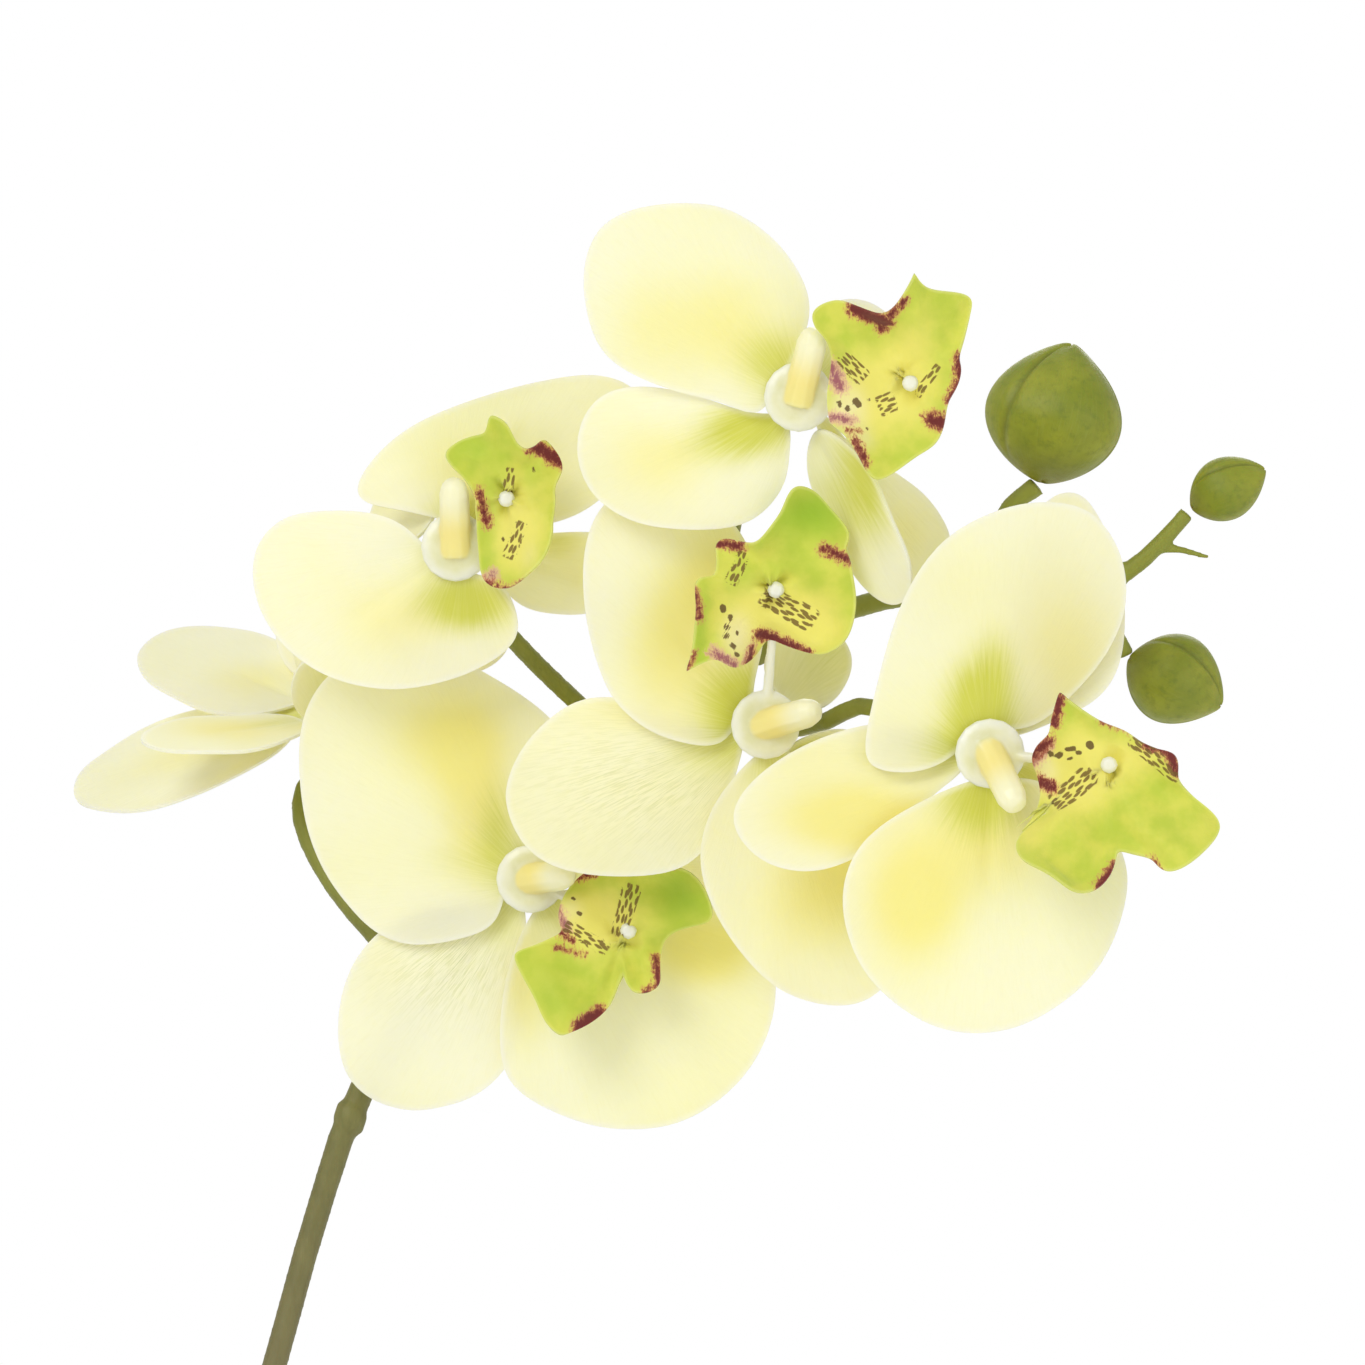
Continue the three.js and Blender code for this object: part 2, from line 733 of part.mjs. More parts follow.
      right_petal: {
        swept: true,
        claw: 78,
        reach: 32,
        width: 26,
        sweep: 36,
        start: pastFoot(frontLayer, 36),
        layer: frontLayer,
      },
      right_sepal: {
        swept: true,
        claw: 274,
        reach: 23,
        width: 13,
        sweep: 64,
        start: pastFoot(rearLayer, 64),
      },
    },
    peg: [-3, 0, 10],
    lip: {
      pin: [10, 0.5],
      slope: 0.22,
      dish: 1.4,
      frill: 1,
      outline: [
        [4.5, -3], [8, -6], [13, -6.5], [16, -5], [17, -3], [20, -2], [22, 0], [20, 2.5], [17, 3.5],
        [16, 6], [12, 6.8], [8, 6], [4.5, 3],
      ],
    },
  },
};

for (const [name, { at, blades, peg, lip: lipSpec }] of Object.entries(flowers)) {
  for (const [blade, spec] of Object.entries(blades)) {
    add(`${name}_${blade}`, spec.swept ? sweptBlade(at, spec) : openBlade(at, spec), 0xf8f5cc);
  }
  add(`${name}_lip`, lip(at, lipSpec), 0xc8cd3c);
  add(`${name}_column`, column(at, peg, lipSpec), 0xf2efd0);
}

// The flower stem rises from the medium, arches to the right and carries every pedicel and bud stalk
const stemWay = [
  [[0, 0, -socketDepth], stemBaseRadius],
  [[0, 0, 0], stemBaseRadius],
  [[2.4, 1, 60], 2.8],
  [[9.6, 4, 120], 2.5],
  [[21.6, 9, 180], 2.3],
  [[33.7, 14, 225], 2.2],
  [[41, 16, 251], 2.2],
  [[47.8, 17, 270], 2.4],
  [[64, 17, 294], 2.2],
  [[82.7, 17, 316], 2.2],
  [[98, 17, 332], 2.1],
  [[116.7, 16, 347], 2],
  [[132.8, 14, 354], 2],
  [[157.5, 10, 358], 1.8],
  [[178.7, 6, 359.5], 1.7],
  [[185, 5, 364.5], 1.5],
  [[190, 4, 370], 1.4],
];
const budStalks = [
  [[[155, 10.4, 358], 1.6], [[158.8, 9, 370.2], 1.5], [[164.4, 8, 374.8], 1.9]],
  [[[174, 7, 359.2], 1.4], [[176.6, 6.5, 352], 1.3], [[179.8, 6, 345.6], 1.5]],
  [[[183.5, 5.2, 363.6], 1.1], [[187.5, 5, 364], 0.8], [[194, 5, 362.4], 0.45]],
];
const stemNodes = [
  [[31.5, 13.1, 218], 3], [[46.2, 16.7, 266], 3.1], [[9, 3.8, 117], 3.4], [[2, 0.9, 52], 3.6],
  [[98, 17, 332], 2.8], [[116.7, 16, 347], 2.7], [[157, 10, 358], 2.5], [[178, 6, 359.4], 2.3],
];

function flowerStem() {
  const rods = stemWay.map(([p, radius]) => [sprayPoint(p), radius]);
  const knuckles = stemNodes.map(([p, radius]) => {
    const ball = new THREE.SphereGeometry(radius, 8, 5);
    return ball.scale(1, 1, 1.25).translate(...sprayPoint(p).toArray());
  });
  return joined([
    rod(rods, 8, 34),
    ...knuckles,
    ...budStalks.map((stations) => rod(stations.map(([p, r]) => [sprayPoint(p), r]), 6, 5)),
    ...Object.values(flowers).map(({ at, way }) => pedicel(at, way, 1.7)),
    ...Object.values(flowers).map(({ at }) => receptacle(at)),
  ]);
}
add("flower_stem", flowerStem(), 0x75763f);

// Closed buds: fat and three-sided, each on the end of its stalk
function bud(base, way, length, width, lobes) {
  const axis = new THREE.Vector3(...way).normalize();
  const stations = [0, 0.06, 0.2, 0.4, 0.6, 0.8, 0.94, 1].map((share) => [
    share * length * sprayScale,
    Math.max(Math.sin(Math.PI * share ** 0.9) ** 0.62, 0.1) * (width / 2) * sprayScale,
  ]);
  return turned(sprayPoint(base).addScaledVector(axis, gap), axis, stations, 18, lobes);
}
add("bud_1", bud([165.2, 8, 375.2], [0.22, -0.05, 1], 24, 25.2, 0.03), 0x868b2f);
add("bud_2", bud([190.6, 3.8, 370.8], [0.95, -0.1, 0.5], 14, 11.5, 0.03), 0x7a822c);
add("bud_3", bud([180, 6, 345.3], [0.8, -0.05, -0.42], 17.5, 16.8, 0.03), 0x8b8c42);

// Strap leaves in two ranks round the foot of the stem, each arching out and folded along its midrib
function leaf({ turn, reach, width, rise, droop, level }) {
  const steps = 11;
  const ribs = 6;
  const out = new THREE.Vector3(Math.cos(radians(turn)), Math.sin(radians(turn)), 0);
  const side = new THREE.Vector3(-out.y, out.x, 0);
  const spine = (t) => {
    const height = level + rise * Math.sin(0.62 * Math.PI * t ** 0.8) - droop * t ** 2.2;
    const foot = stemBaseRadius + leafThickness + gap;
    return new THREE.Vector3(0, 0, mediumLevel + height).addScaledVector(out, foot + reach * t);
  };
  const fronts = [];
  const backs = [];
  for (let i = 0; i <= steps; i++) {
    const t = i / steps;
    const along = spine(t + 0.01).sub(spine(t - 0.01 < 0 ? 0 : t - 0.01)).normalize();
    const lift = new THREE.Vector3().crossVectors(along, side);
    if (lift.z < 0) lift.negate();
    const half = (width / 2) * Math.min(1, 0.26 + 1.5 * t) * Math.sqrt(Math.max(1 - t ** 5, 0.02));
    for (let j = 0; j <= ribs; j++) {
      const s = (2 * j) / ribs - 1;
      const fold = 0.3 * half * Math.abs(s) ** 1.5;
      const p = spine(t).addScaledVector(side, half * s * 0.96).addScaledVector(lift, fold);
      const thick = (leafThickness / 2) * (1 - 0.55 * Math.abs(s));
      fronts.push(p.clone().addScaledVector(lift, thick));
      backs.push(p.clone().addScaledVector(lift, -thick));
    }
  }
  const row = ribs + 1;
  const back = fronts.length;
  const triangles = [];
  const quad = (a, b, c, d) => triangles.push(a, b, c, a, c, d);
  for (let i = 0; i < steps; i++) {
    for (let j = 0; j < ribs; j++) {
      const a = i * row + j;
      quad(a, a + row, a + row + 1, a + 1);
      quad(back + a, back + a + 1, back + a + row + 1, back + a + row);
    }
    const first = i * row;
    const last = first + ribs;
    quad(first, back + first, back + first + row, first + row);
    quad(last, last + row, back + last + row, back + last);
  }
  for (let j = 0; j < ribs; j++) {
    const end = steps * row + j;
    quad(j, j + 1, back + j + 1, back + j);
    quad(end, back + end, back + end + 1, end + 1);
  }
  return geometryOf([...fronts, ...backs], triangles);
}

const leaves = {
  leaf_1: { turn: 188, reach: leafReach, width: leafWidth, rise: 58, droop: 62, level: 12 },
  leaf_2: { turn: 8, reach: leafReach * 0.92, width: leafWidth * 0.95, rise: 66, droop: 60, level: 17 },
  leaf_3: { turn: 232, reach: leafReach * 0.66, width: leafWidth * 0.85, rise: 74, droop: 34, level: 22 },
  leaf_4: { turn: 52, reach: leafReach * 0.6, width: leafWidth * 0.8, rise: 78, droop: 30, level: 27 },
  leaf_5: { turn: 128, reach: leafReach * 0.42, width: leafWidth * 0.6, rise: 74, droop: 12, level: 32 },
};
Object.entries(leaves).forEach(([name, spec]) => add(name, leaf(spec), 0x4d6b2b));

// The pot: a tapered round wall with a rolled rim, open at the top
const floorThickness = 6;
const wallAt = (z) => THREE.MathUtils.lerp(potFootRadius, potTopRadius, z / potHeight);
const innerAt = (z) => wallAt(z) - potWall;
function pot() {
  const roll = 3;
  const profile = [
    [0, 0],
    [potFootRadius - 1.2, 0],
    [potFootRadius, 1.5],
    [wallAt(potHeight - 16), potHeight - 16],
    [wallAt(potHeight - 14) + roll * 0.6, potHeight - 13.5],
    [wallAt(potHeight - 3) + roll, potHeight - 3],
    [wallAt(potHeight) + roll - 0.8, potHeight - 0.8],
    [wallAt(potHeight) + roll - 2.6, potHeight],
    [innerAt(potHeight) + 1.6, potHeight],
    [innerAt(potHeight), potHeight - 1.6],
    [innerAt(floorThickness + 6), floorThickness + 6],
    [innerAt(floorThickness) - 4, floorThickness],
    [0, floorThickness],
  ];
  const shape = profile.map(([r, z]) => new THREE.Vector2(r, z));
  return new THREE.LatheGeometry(shape, 40).rotateX(Math.PI / 2);
}
add("pot", meshOf(solidOf(pot())), 0xe9e6df);

// The growing medium fills the pot to its level, gently domed, with a socket for the stem
function growingMedium() {
  const dome = 3;
  const profile = [
    [0, floorThickness + gap],
    [innerAt(floorThickness) - 5, floorThickness + gap],
    [innerAt(floorThickness + 7) - gap - 0.2, floorThickness + 7],
    [innerAt(mediumLevel - dome) - gap - 0.1, mediumLevel - dome],
    [innerAt(mediumLevel) * 0.66, mediumLevel - dome * 0.4],
    [innerAt(mediumLevel) * 0.3, mediumLevel - 0.1],
    [0, mediumLevel],
  ];
  const shape = profile.map(([r, z]) => new THREE.Vector2(r, z));
  const fill = solidOf(new THREE.LatheGeometry(shape, 28).rotateX(Math.PI / 2));
  const socket = turned(
    new THREE.Vector3(0, 0, mediumLevel - socketDepth * sprayScale - gap),
    up,
    [
      [0, stemBaseRadius + gap],
      [socketDepth * sprayScale + gap + 5, stemBaseRadius + gap],
    ],
    20,
  );
  return meshOf(fill.subtract(solidOf(socket)));
}
add("growing_medium", growingMedium(), 0x6b4a33);

export default root;
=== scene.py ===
import json
import math
import random

import bmesh
import bpy
import numpy as np
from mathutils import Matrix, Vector, kdtree

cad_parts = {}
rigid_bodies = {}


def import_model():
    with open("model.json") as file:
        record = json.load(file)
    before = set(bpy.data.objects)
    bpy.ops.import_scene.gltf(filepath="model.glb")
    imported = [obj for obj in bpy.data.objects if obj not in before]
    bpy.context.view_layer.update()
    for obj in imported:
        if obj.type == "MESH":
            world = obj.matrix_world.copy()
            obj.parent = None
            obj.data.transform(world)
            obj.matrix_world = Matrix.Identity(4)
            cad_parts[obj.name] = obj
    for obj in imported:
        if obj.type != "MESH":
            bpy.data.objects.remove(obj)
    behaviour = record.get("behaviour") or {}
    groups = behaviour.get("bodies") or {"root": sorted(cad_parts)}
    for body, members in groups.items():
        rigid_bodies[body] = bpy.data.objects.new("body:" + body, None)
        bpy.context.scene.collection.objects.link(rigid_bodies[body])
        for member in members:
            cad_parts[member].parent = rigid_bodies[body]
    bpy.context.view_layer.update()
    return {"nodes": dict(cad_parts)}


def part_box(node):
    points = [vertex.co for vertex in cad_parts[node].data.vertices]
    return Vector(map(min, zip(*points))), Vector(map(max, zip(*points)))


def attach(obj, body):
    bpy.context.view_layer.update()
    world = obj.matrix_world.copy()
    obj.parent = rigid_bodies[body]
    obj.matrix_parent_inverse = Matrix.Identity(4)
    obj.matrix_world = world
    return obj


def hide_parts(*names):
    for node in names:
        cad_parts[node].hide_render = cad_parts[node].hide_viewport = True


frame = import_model()
mm = 0.001


def cadMesh(node):  # a merged copy of a CAD node, ready to be worked on
    bm = bmesh.new()
    bm.from_mesh(frame["nodes"][node].data)
    bmesh.ops.remove_doubles(bm, verts=bm.verts, dist=2e-6)
    return bm


def inQuads(bm, bend=60):  # pairs of triangles joined where they bend by less than this
    bmesh.ops.join_triangles(
        bm, faces=bm.faces[:],
        angle_face_threshold=math.radians(bend), angle_shape_threshold=math.radians(170))
    return bm


def pointsOf(mesh):
    points = np.zeros(len(mesh.vertices) * 3)
    mesh.vertices.foreach_get("co", points)
    return points.reshape(-1, 3)


def normalsOf(mesh):
    normals = np.zeros(len(mesh.vertices) * 3)
    mesh.vertices.foreach_get("normal", normals)
    return normals.reshape(-1, 3)


def setPoints(mesh, points):
    mesh.vertices.foreach_set("co", points.ravel())
    mesh.update()


def storeValues(mesh, name, values):  # one number or one vector for each vertex
    values = np.asarray(values, float)
    kind = "FLOAT" if values.ndim == 1 else "FLOAT_VECTOR"
    layer = mesh.attributes.new(name, kind, "POINT")
    layer.data.foreach_set("value" if values.ndim == 1 else "vector", values.ravel())


def objectFrom(name, source):
    if isinstance(source, bmesh.types.BMesh):
        mesh = bpy.data.meshes.new(name)
        source.to_mesh(mesh)
        source.free()
        source = mesh
    piece = bpy.data.objects.new(name, source)
    bpy.context.scene.collection.objects.link(piece)
    return piece


def modified(piece, kind, **settings):  # the piece with one modifier applied
    modifier = piece.modifiers.new(kind.lower(), kind)
    for setting, value in settings.items():
        setattr(modifier, setting, value)
    graph = bpy.context.evaluated_depsgraph_get()
    mesh = bpy.data.meshes.new_from_object(piece.evaluated_get(graph))
    piece.modifiers.clear()
    piece.data = mesh
    return piece


def finishPiece(piece, node, look, sharp=None):
    for polygon in piece.data.polygons:
        polygon.use_smooth = True
    if sharp:
        piece.data.set_sharp_from_angle(angle=math.radians(sharp))
    piece.data.materials.clear()
    piece.data.materials.append(look)
    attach(piece, "root")
    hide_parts(node)
    return piece


def smoothStep(low, high, value):
    share = np.clip((value - low) / (high - low), 0, 1)
    return share * share * (3 - 2 * share)


class Value:  # a socket that can be reckoned with
    def __init__(self, look, socket):
        self.look = look
        self.socket = socket

    def maths(self, operation, first, second):
        return self.look.node("ShaderNodeMath", {"operation": operation}, {0: first, 1: second})

    def __add__(self, other):
        return self.maths("ADD", self, other)

    def __radd__(self, other):
        return self.maths("ADD", self, other)

    def __sub__(self, other):
        return self.maths("SUBTRACT", self, other)

    def __rsub__(self, other):
        return self.maths("SUBTRACT", other, self)

    def __mul__(self, other):
        return self.maths("MULTIPLY", self, other)

    def __rmul__(self, other):
        return self.maths("MULTIPLY", self, other)

    def step(self, low, high):  # 0 below low, 1 above high, eased between
        settings = {"interpolation_type": "SMOOTHSTEP"}
        inputs = {"Value": self, "From Min": low, "From Max": high}
        return self.look.node("ShaderNodeMapRange", settings, inputs)


class Look:  # one material under construction
    def __init__(self, name, constants):
        self.material = bpy.data.materials.new(name)
        self.material.use_nodes = True
        self.tree = self.material.node_tree
        self.tree.nodes.clear()
        self.shader = self.tree.nodes.new("ShaderNodeBsdfPrincipled")
        output = self.tree.nodes.new("ShaderNodeOutputMaterial")
        self.tree.links.new(self.shader.outputs[0], output.inputs[0])
        for label, value in constants.items():
            self.shader.inputs[label].default_value = value

    def node(self, kind, settings=None, inputs=None, output=0):
        made = self.tree.nodes.new(kind)
        for setting, value in (settings or {}).items():
            setattr(made, setting, value)
        for key, value in (inputs or {}).items():
            self.feed(made.inputs[key], value)
        return Value(self, made.outputs[output])

    def feed(self, socket, value):
        if isinstance(value, Value):
            self.tree.links.new(value.socket, socket)
        else:
            socket.default_value = value

    def place(self):  # the piece's own coordinates
        return self.node("ShaderNodeTexCoord", output="Object")

    def attribute(self, name, output="Fac"):
        return self.node("ShaderNodeAttribute", {"attribute_name": name}, output=output)

    def parts(self, vector):
        split = self.tree.nodes.new("ShaderNodeSeparateXYZ")
        self.feed(split.inputs[0], vector)
        return [Value(self, output) for output in split.outputs]

    def vector(self, x, y, z=0.0):
        return self.node("ShaderNodeCombineXYZ", inputs={0: x, 1: y, 2: z})

    def noise(self, where, scale, detail, rough, twist=0.0):
        inputs = {"Vector": where, "Scale": scale, "Detail": detail, "Roughness": rough, "Distortion": twist}
        return self.node("ShaderNodeTexNoise", inputs=inputs)

    def mix(self, share, first, second):  # the colour sockets are 6 and 7 in, 2 out
        settings = {"data_type": "RGBA", "clamp_factor": True}
        return self.node("ShaderNodeMix", settings, {0: share, 6: first, 7: second}, output=2)

    def bump(self, height, strength, depth):
        inputs = {"Height": height, "Strength": strength, "Distance": depth}
        return self.node("ShaderNodeBump", inputs=inputs)

    def finish(self, colour, roughness, normal=None):
        self.feed(self.shader.inputs["Base Color"], colour)
        self.feed(self.shader.inputs["Roughness"], roughness)
        if normal is not None:
            self.feed(self.shader.inputs["Normal"], normal)
        return self.material


def paint(red, green, blue):  # a screen colour, 0 to 255, as a linear one
    def linear(part):
        share = part / 255
        return share / 12.92 if share <= 0.04045 else ((share + 0.055) / 1.055) ** 2.4
    return (linear(red), linear(green), linear(blue), 1.0)


bladeSettings = {
    "thickness": 0.5 * mm,
    "rippleHeight": 0.45 * mm,
    "rippleReach": 9 * mm,  # how far in from the rim a blade ripples
    "furrowDepth": 0.5 * mm,
    "throatStrength": 0.5,  # of the green throat that all blades share
    "throatReach": 9,  # this and the next four in plain mm
    "rippleSizes": (31, 19, 12),
    "furrowWidth": 1.6,
    "furrowRise": (4, 9),
    "furrowFade": (14, 30),
}

# soft patches of colour on a blade: kind, place across the flower in mm, half sizes in mm, strength
bladePatches = {
    "flower_1_upper_petal": [
        ("green", -2, 9, 6.5, 8, 0.95), ("green", 1, 17, 4, 6, 0.4), ("green", -8, 1, 8, 4, 0.4),
        ("warm", 13, 17, 10, 16, 0.5), ("warm", -6, 28, 9, 12, 0.2),
    ],
    "flower_1_lower_petal": [
        ("green", -2, -9, 8, 7, 0.85), ("warm", -13, -24, 9, 12, 0.75), ("warm", 1, -16, 10, 8, 0.45),
    ],
    "flower_1_dorsal_sepal": [
        ("green", -13, 0, 12, 3.5, 0.5), ("warm", -22, -11, 14, 6, 0.85), ("warm", -28, 0, 12, 6, 0.25),
    ],
    "flower_1_upper_sepal": [("warm", 14, 18, 8, 8, 0.15)],
    "flower_1_lower_sepal": [("green", 8, -6, 8, 8, 0.5)],
    "flower_2_upper_petal": [
        ("green", -5, 7, 7, 6, 0.6), ("warm", -12, 12, 11, 11, 0.45), ("warm", -26, 12, 9, 12, 0.3),
    ],
    "flower_2_dorsal_sepal": [
        ("green", -9, -5, 8, 5, 0.9), ("green", -16, -9, 8, 4, 0.35), ("warm", -24, -10, 10, 8, 0.4),
    ],
    "flower_2_lower_petal": [("green", 11, -15, 7, 11, 0.95), ("warm", 20, -20, 8, 8, 0.3)],
    "flower_2_right_sepal": [("green", 9, -10, 5, 8, 0.6), ("warm", 18, -22, 6, 6, 0.3)],
    "flower_2_upper_sepal": [("green", 8, 6, 8, 8, 0.5)],
    "flower_3_upper_petal": [
        ("green", -5, 4, 8, 9, 0.85), ("warm", -16, 12, 9, 14, 0.55), ("warm", -8, 24, 8, 9, 0.5),
    ],
    "flower_3_lower_petal": [
        ("green", 3, -11, 7, 7, 0.5), ("warm", 14, -24, 10, 12, 0.65), ("warm", 4, -32, 8, 10, 0.25),
    ],
    "flower_3_dorsal_sepal": [
        ("green", -9, -4, 9, 6, 0.55), ("streak", -20, -10, 16, 9, 0.7), ("warm", -25, 2, 12, 5, 0.3),
    ],
    "flower_3_right_sepal": [("green", 12, 12, 9, 9, 0.6)],
    "flower_3_lower_sepal": [("green", 10, -6, 10, 8, 0.5)],
    "flower_4_upper_petal": [("warm", 4, 14, 14, 8, 0.35), ("green", 3, 7, 7, 4, 0.4)],
    "flower_4_lower_petal": [
        ("green", 2, -10, 9, 5, 1.0), ("warm", -10, -12, 12, 8, 0.4), ("warm", -24, -2, 8, 8, 0.15),
    ],
    "flower_4_right_sepal": [("green", 17, 2, 5, 5, 0.55), ("warm", 22, -4, 7, 5, 0.25)],
    "flower_4_lower_sepal": [("green", 0, -12, 8, 8, 0.4)],
    "flower_4_dorsal_sepal": [("warm", -12, 10, 9, 9, 0.3)],
    "flower_5_upper_petal": [
        ("green", -6, 10, 4, 9, 0.6), ("warm", -14, 24, 11, 9, 0.6), ("warm", -10, 12, 6, 12, 0.5),
        ("green", -13, 3, 8, 5, 0.3),
    ],
    "flower_5_lower_petal": [
        ("warm", 30, -12, 10, 7, 0.8), ("warm", -1, -18, 5, 12, 0.5), ("green", 7, -6, 8, 6, 0.35),
    ],
    "flower_5_dorsal_sepal": [
        ("streak", -14, -14, 10, 8, 0.95), ("green", -6, -8, 5, 6, 0.4), ("warm", -26, -16, 6, 9, 0.2),
    ],
    "flower_5_upper_sepal": [("warm", 0, 16, 9, 9, 0.3)],
    "flower_5_right_sepal": [("warm", 18, 6, 12, 8, 0.35)],
    "flower_6_left_petal": [("green", -14, 0, 10, 6, 0.75), ("warm", -28, 0, 14, 7, 0.35)],
    "flower_6_front_sepal": [("green", -10, -8, 7, 6, 0.4), ("warm", -18, -12, 10, 9, 0.6)],
    "flower_6_rear_sepal": [("warm", -14, 10, 9, 7, 0.35)],
    "flower_6_right_petal": [("green", 4, 14, 8, 8, 0.3)],
    "flower_6_right_sepal": [("green", 3, -10, 6, 7, 0.4)],
}

lipSettings = {
    "thickness": 0.45 * mm,
    "curl": 1.3 * mm,
    "curlReach": 4 * mm,
    "fold": 0.5 * mm,
    "foldTurn": 0.62,  # in radians for each mm across the folds
    "creasing": 0.9,  # how firmly sharp corners of the outline are held
    "blotchFade": 1.6,  # how softly a stroke ends, in mm
    "inkFade": 0.4,
}

# soft patches on a lip, as for the blades; the darker green patches are painted shade on the curled flaps
lipPatches = {
    "flower_1": [
        ("yellow", 14, -3, 8, 8, 1.1), ("yellow", 24, -1, 7, 3, 0.6), ("yellow", 6, -14, 4, 5, 0.5),
        ("cream", 8.5, -3, 3, 4, 0.7),
    ],
    "flower_2": [
        ("yellow", 15, 1, 9, 8, 1.1), ("yellow", 20, 10, 4, 6, 0.4), ("cream", 8, -2, 4, 5, 0.8),
        ("cream", 10.5, -8, 3, 3, 0.5),
    ],
    "flower_3": [
        ("yellow", -1, 18, 9, 7, 1.0), ("yellow", 8, 17, 7, 5, 0.7), ("cream", -5, 15, 3.4, 5, 0.8),
        ("green", 7, 36, 7, 5, 1.0), ("green", -11.5, 14, 1.6, 9, 0.7),
    ],
    "flower_4": [
        ("yellow", 11, 3, 5, 9, 1.0), ("green", 4, 16, 7, 3, 0.5), ("green", 5, -3, 3, 3, 0.4),
        ("cream", 13, -2, 3, 4, 0.4),
    ],
    "flower_5": [
        ("yellow", 12, -7, 8, 6, 1.1), ("cream", 7, -5, 3, 3, 0.6), ("green", 27, -3, 6, 5, 0.8),
        ("green", 3, -17, 7, 5, 0.4),
    ],
    "flower_6": [("yellow", 10, 0, 6, 4, 1)],
}

# brushed marks on a lip: kind, from x, z, to x, z across the flower in mm, half width in mm
lipStrokes = {
    "flower_1": [
        ("red", 11.3, 9.8, 10.4, 5.2, 1.0), ("red", 6.6, -0.2, 9.4, 2.2, 1.0),
        ("purple", 6.8, -1.2, 9.2, 1.4, 1.2),
        ("red", 7.8, -4.4, 9.6, -5.4, 1.1), ("red", 18.2, 5.4, 22.5, 3.6, 0.5),
        ("red", 25.4, 1.4, 30.4, 0.2, 0.9),
        ("red", 29.6, 0.2, 31.0, -2.6, 1.1), ("red", 17.4, -22.4, 20.2, -19.4, 1.2),
        ("red", 25.6, -17.2, 27.2, -19.6, 0.5),
        ("ink", 16.2, 1.6, 16.4, 1.3, 0.62), ("ink", 9.6, 0.2, 9.8, -0.2, 0.42),
        ("ink", 11.0, -0.4, 11.2, -0.1, 0.5),
        ("ink", 12.4, 0.7, 13.6, 0.9, 0.4), ("ink", 14.2, 0.2, 14.6, 0.2, 0.36),
        ("ink", 12.6, -0.9, 13.2, -0.7, 0.26),
    ],
    "flower_2": [
        ("red", 9.2, 14.6, 14.4, 12.6, 1.5), ("red", 14.8, 13.4, 17.2, 15.6, 0.8),
        ("red", 13.6, 11.2, 15.0, 12.4, 1.0),
        ("red", 26.8, 6.2, 27.2, 2.2, 1.0), ("red", 26.8, 2.2, 25.2, -0.8, 0.9),
        ("red", 22.0, -4.0, 24.0, -4.6, 1.4),
        ("red", 9.6, -8.6, 10.8, -11.6, 0.8), ("purple", 5.0, 4.4, 6.8, 1.6, 1.3),
        ("purple", 5.4, -3.6, 8.4, -4.4, 1.1),
        ("red", 8.6, -6.6, 9.8, -6.4, 0.5),
        ("ink", 6.6, -1.0, 6.9, -1.6, 0.36), ("ink", 8.0, -1.9, 8.2, -2.3, 0.4),
        ("ink", 9.3, -0.8, 9.8, -1.5, 0.52),
        ("ink", 11.4, -0.6, 11.5, -0.7, 0.3), ("ink", 11.2, -5.4, 11.4, -5.6, 0.24),
    ],
    "flower_3": [
        ("red", -12.4, 22.6, -11.8, 18.6, 0.8), ("red", -14.0, 9.4, -12.4, 12.2, 0.5),
        ("purple", -9.2, 12.4, -5.6, 10.2, 1.1),
        ("red", -2.2, 12.6, -2.4, 10.6, 0.9), ("purple", -3.0, 10.8, -2.2, 13.0, 0.8),
        ("red", -0.8, 15.2, 4.2, 13.2, 1.2),
        ("red", 4.2, 13.4, 6.8, 12.4, 0.7), ("red", 9.4, 30.0, 13.6, 27.8, 0.9),
        ("red", -8.2, 31.0, -4.4, 30.4, 0.9),
        ("ink", -7.4, 20.0, -7.3, 19.6, 0.56), ("ink", -6.1, 18.4, -6.0, 18.1, 0.46),
        ("ink", -7.1, 16.8, -6.6, 16.6, 0.42),
        ("ink", -7.2, 15.2, -6.8, 15.2, 0.42), ("ink", -5.0, 15.8, -4.9, 15.6, 0.3),
        ("ink", -6.2, 13.8, -5.6, 13.4, 0.36),
        ("ink", -5.4, 12.2, -5.0, 12.0, 0.36),
    ],
    "flower_4": [
        ("red", 14.6, 16.6, 18.2, 14.2, 1.3), ("red", 13.0, 16.6, 15.0, 16.6, 0.9),
        ("red", 4.4, 9.0, 5.6, 3.8, 0.8),
        ("red", 4.6, -5.8, 8.6, -7.2, 0.7), ("purple", 4.4, -6.2, 6.6, -4.6, 0.9),
        ("red", 8.6, -7.2, 14.0, -5.6, 0.4),
        ("ink", 13.4, 13.2, 13.6, 12.6, 0.26), ("ink", 8.2, 1.4, 8.3, 1.0, 0.26),
    ],
    "flower_5": [
        ("red", 9.2, -24.4, 12.4, -22.4, 1.5), ("red", 22.6, -18.2, 21.6, -13.0, 0.8),
        ("red", 20.2, -19.0, 22.4, -17.6, 0.7),
        ("purple", 4.8, -4.8, 6.4, -8.6, 0.9), ("red", 5.2, -8.8, 7.4, -10.2, 0.7),
        ("red", 7.8, 0.6, 10.6, 1.0, 0.7),
        ("red", 20.4, 3.4, 25.4, 3.0, 0.5), ("red", 4.6, -11.6, 9.6, -12.6, 0.3),
        ("ink", 7.4, -3.0, 7.6, -3.3, 0.3), ("ink", 8.4, -5.6, 8.8, -5.8, 0.34),
    ],
    "flower_6": [("red", 20, 0, 22, 0, 1.2), ("red", 4.6, -3, 5.6, -2.4, 0.9), ("ink", 8, 0.4, 9, 0.8, 0.3)],
}

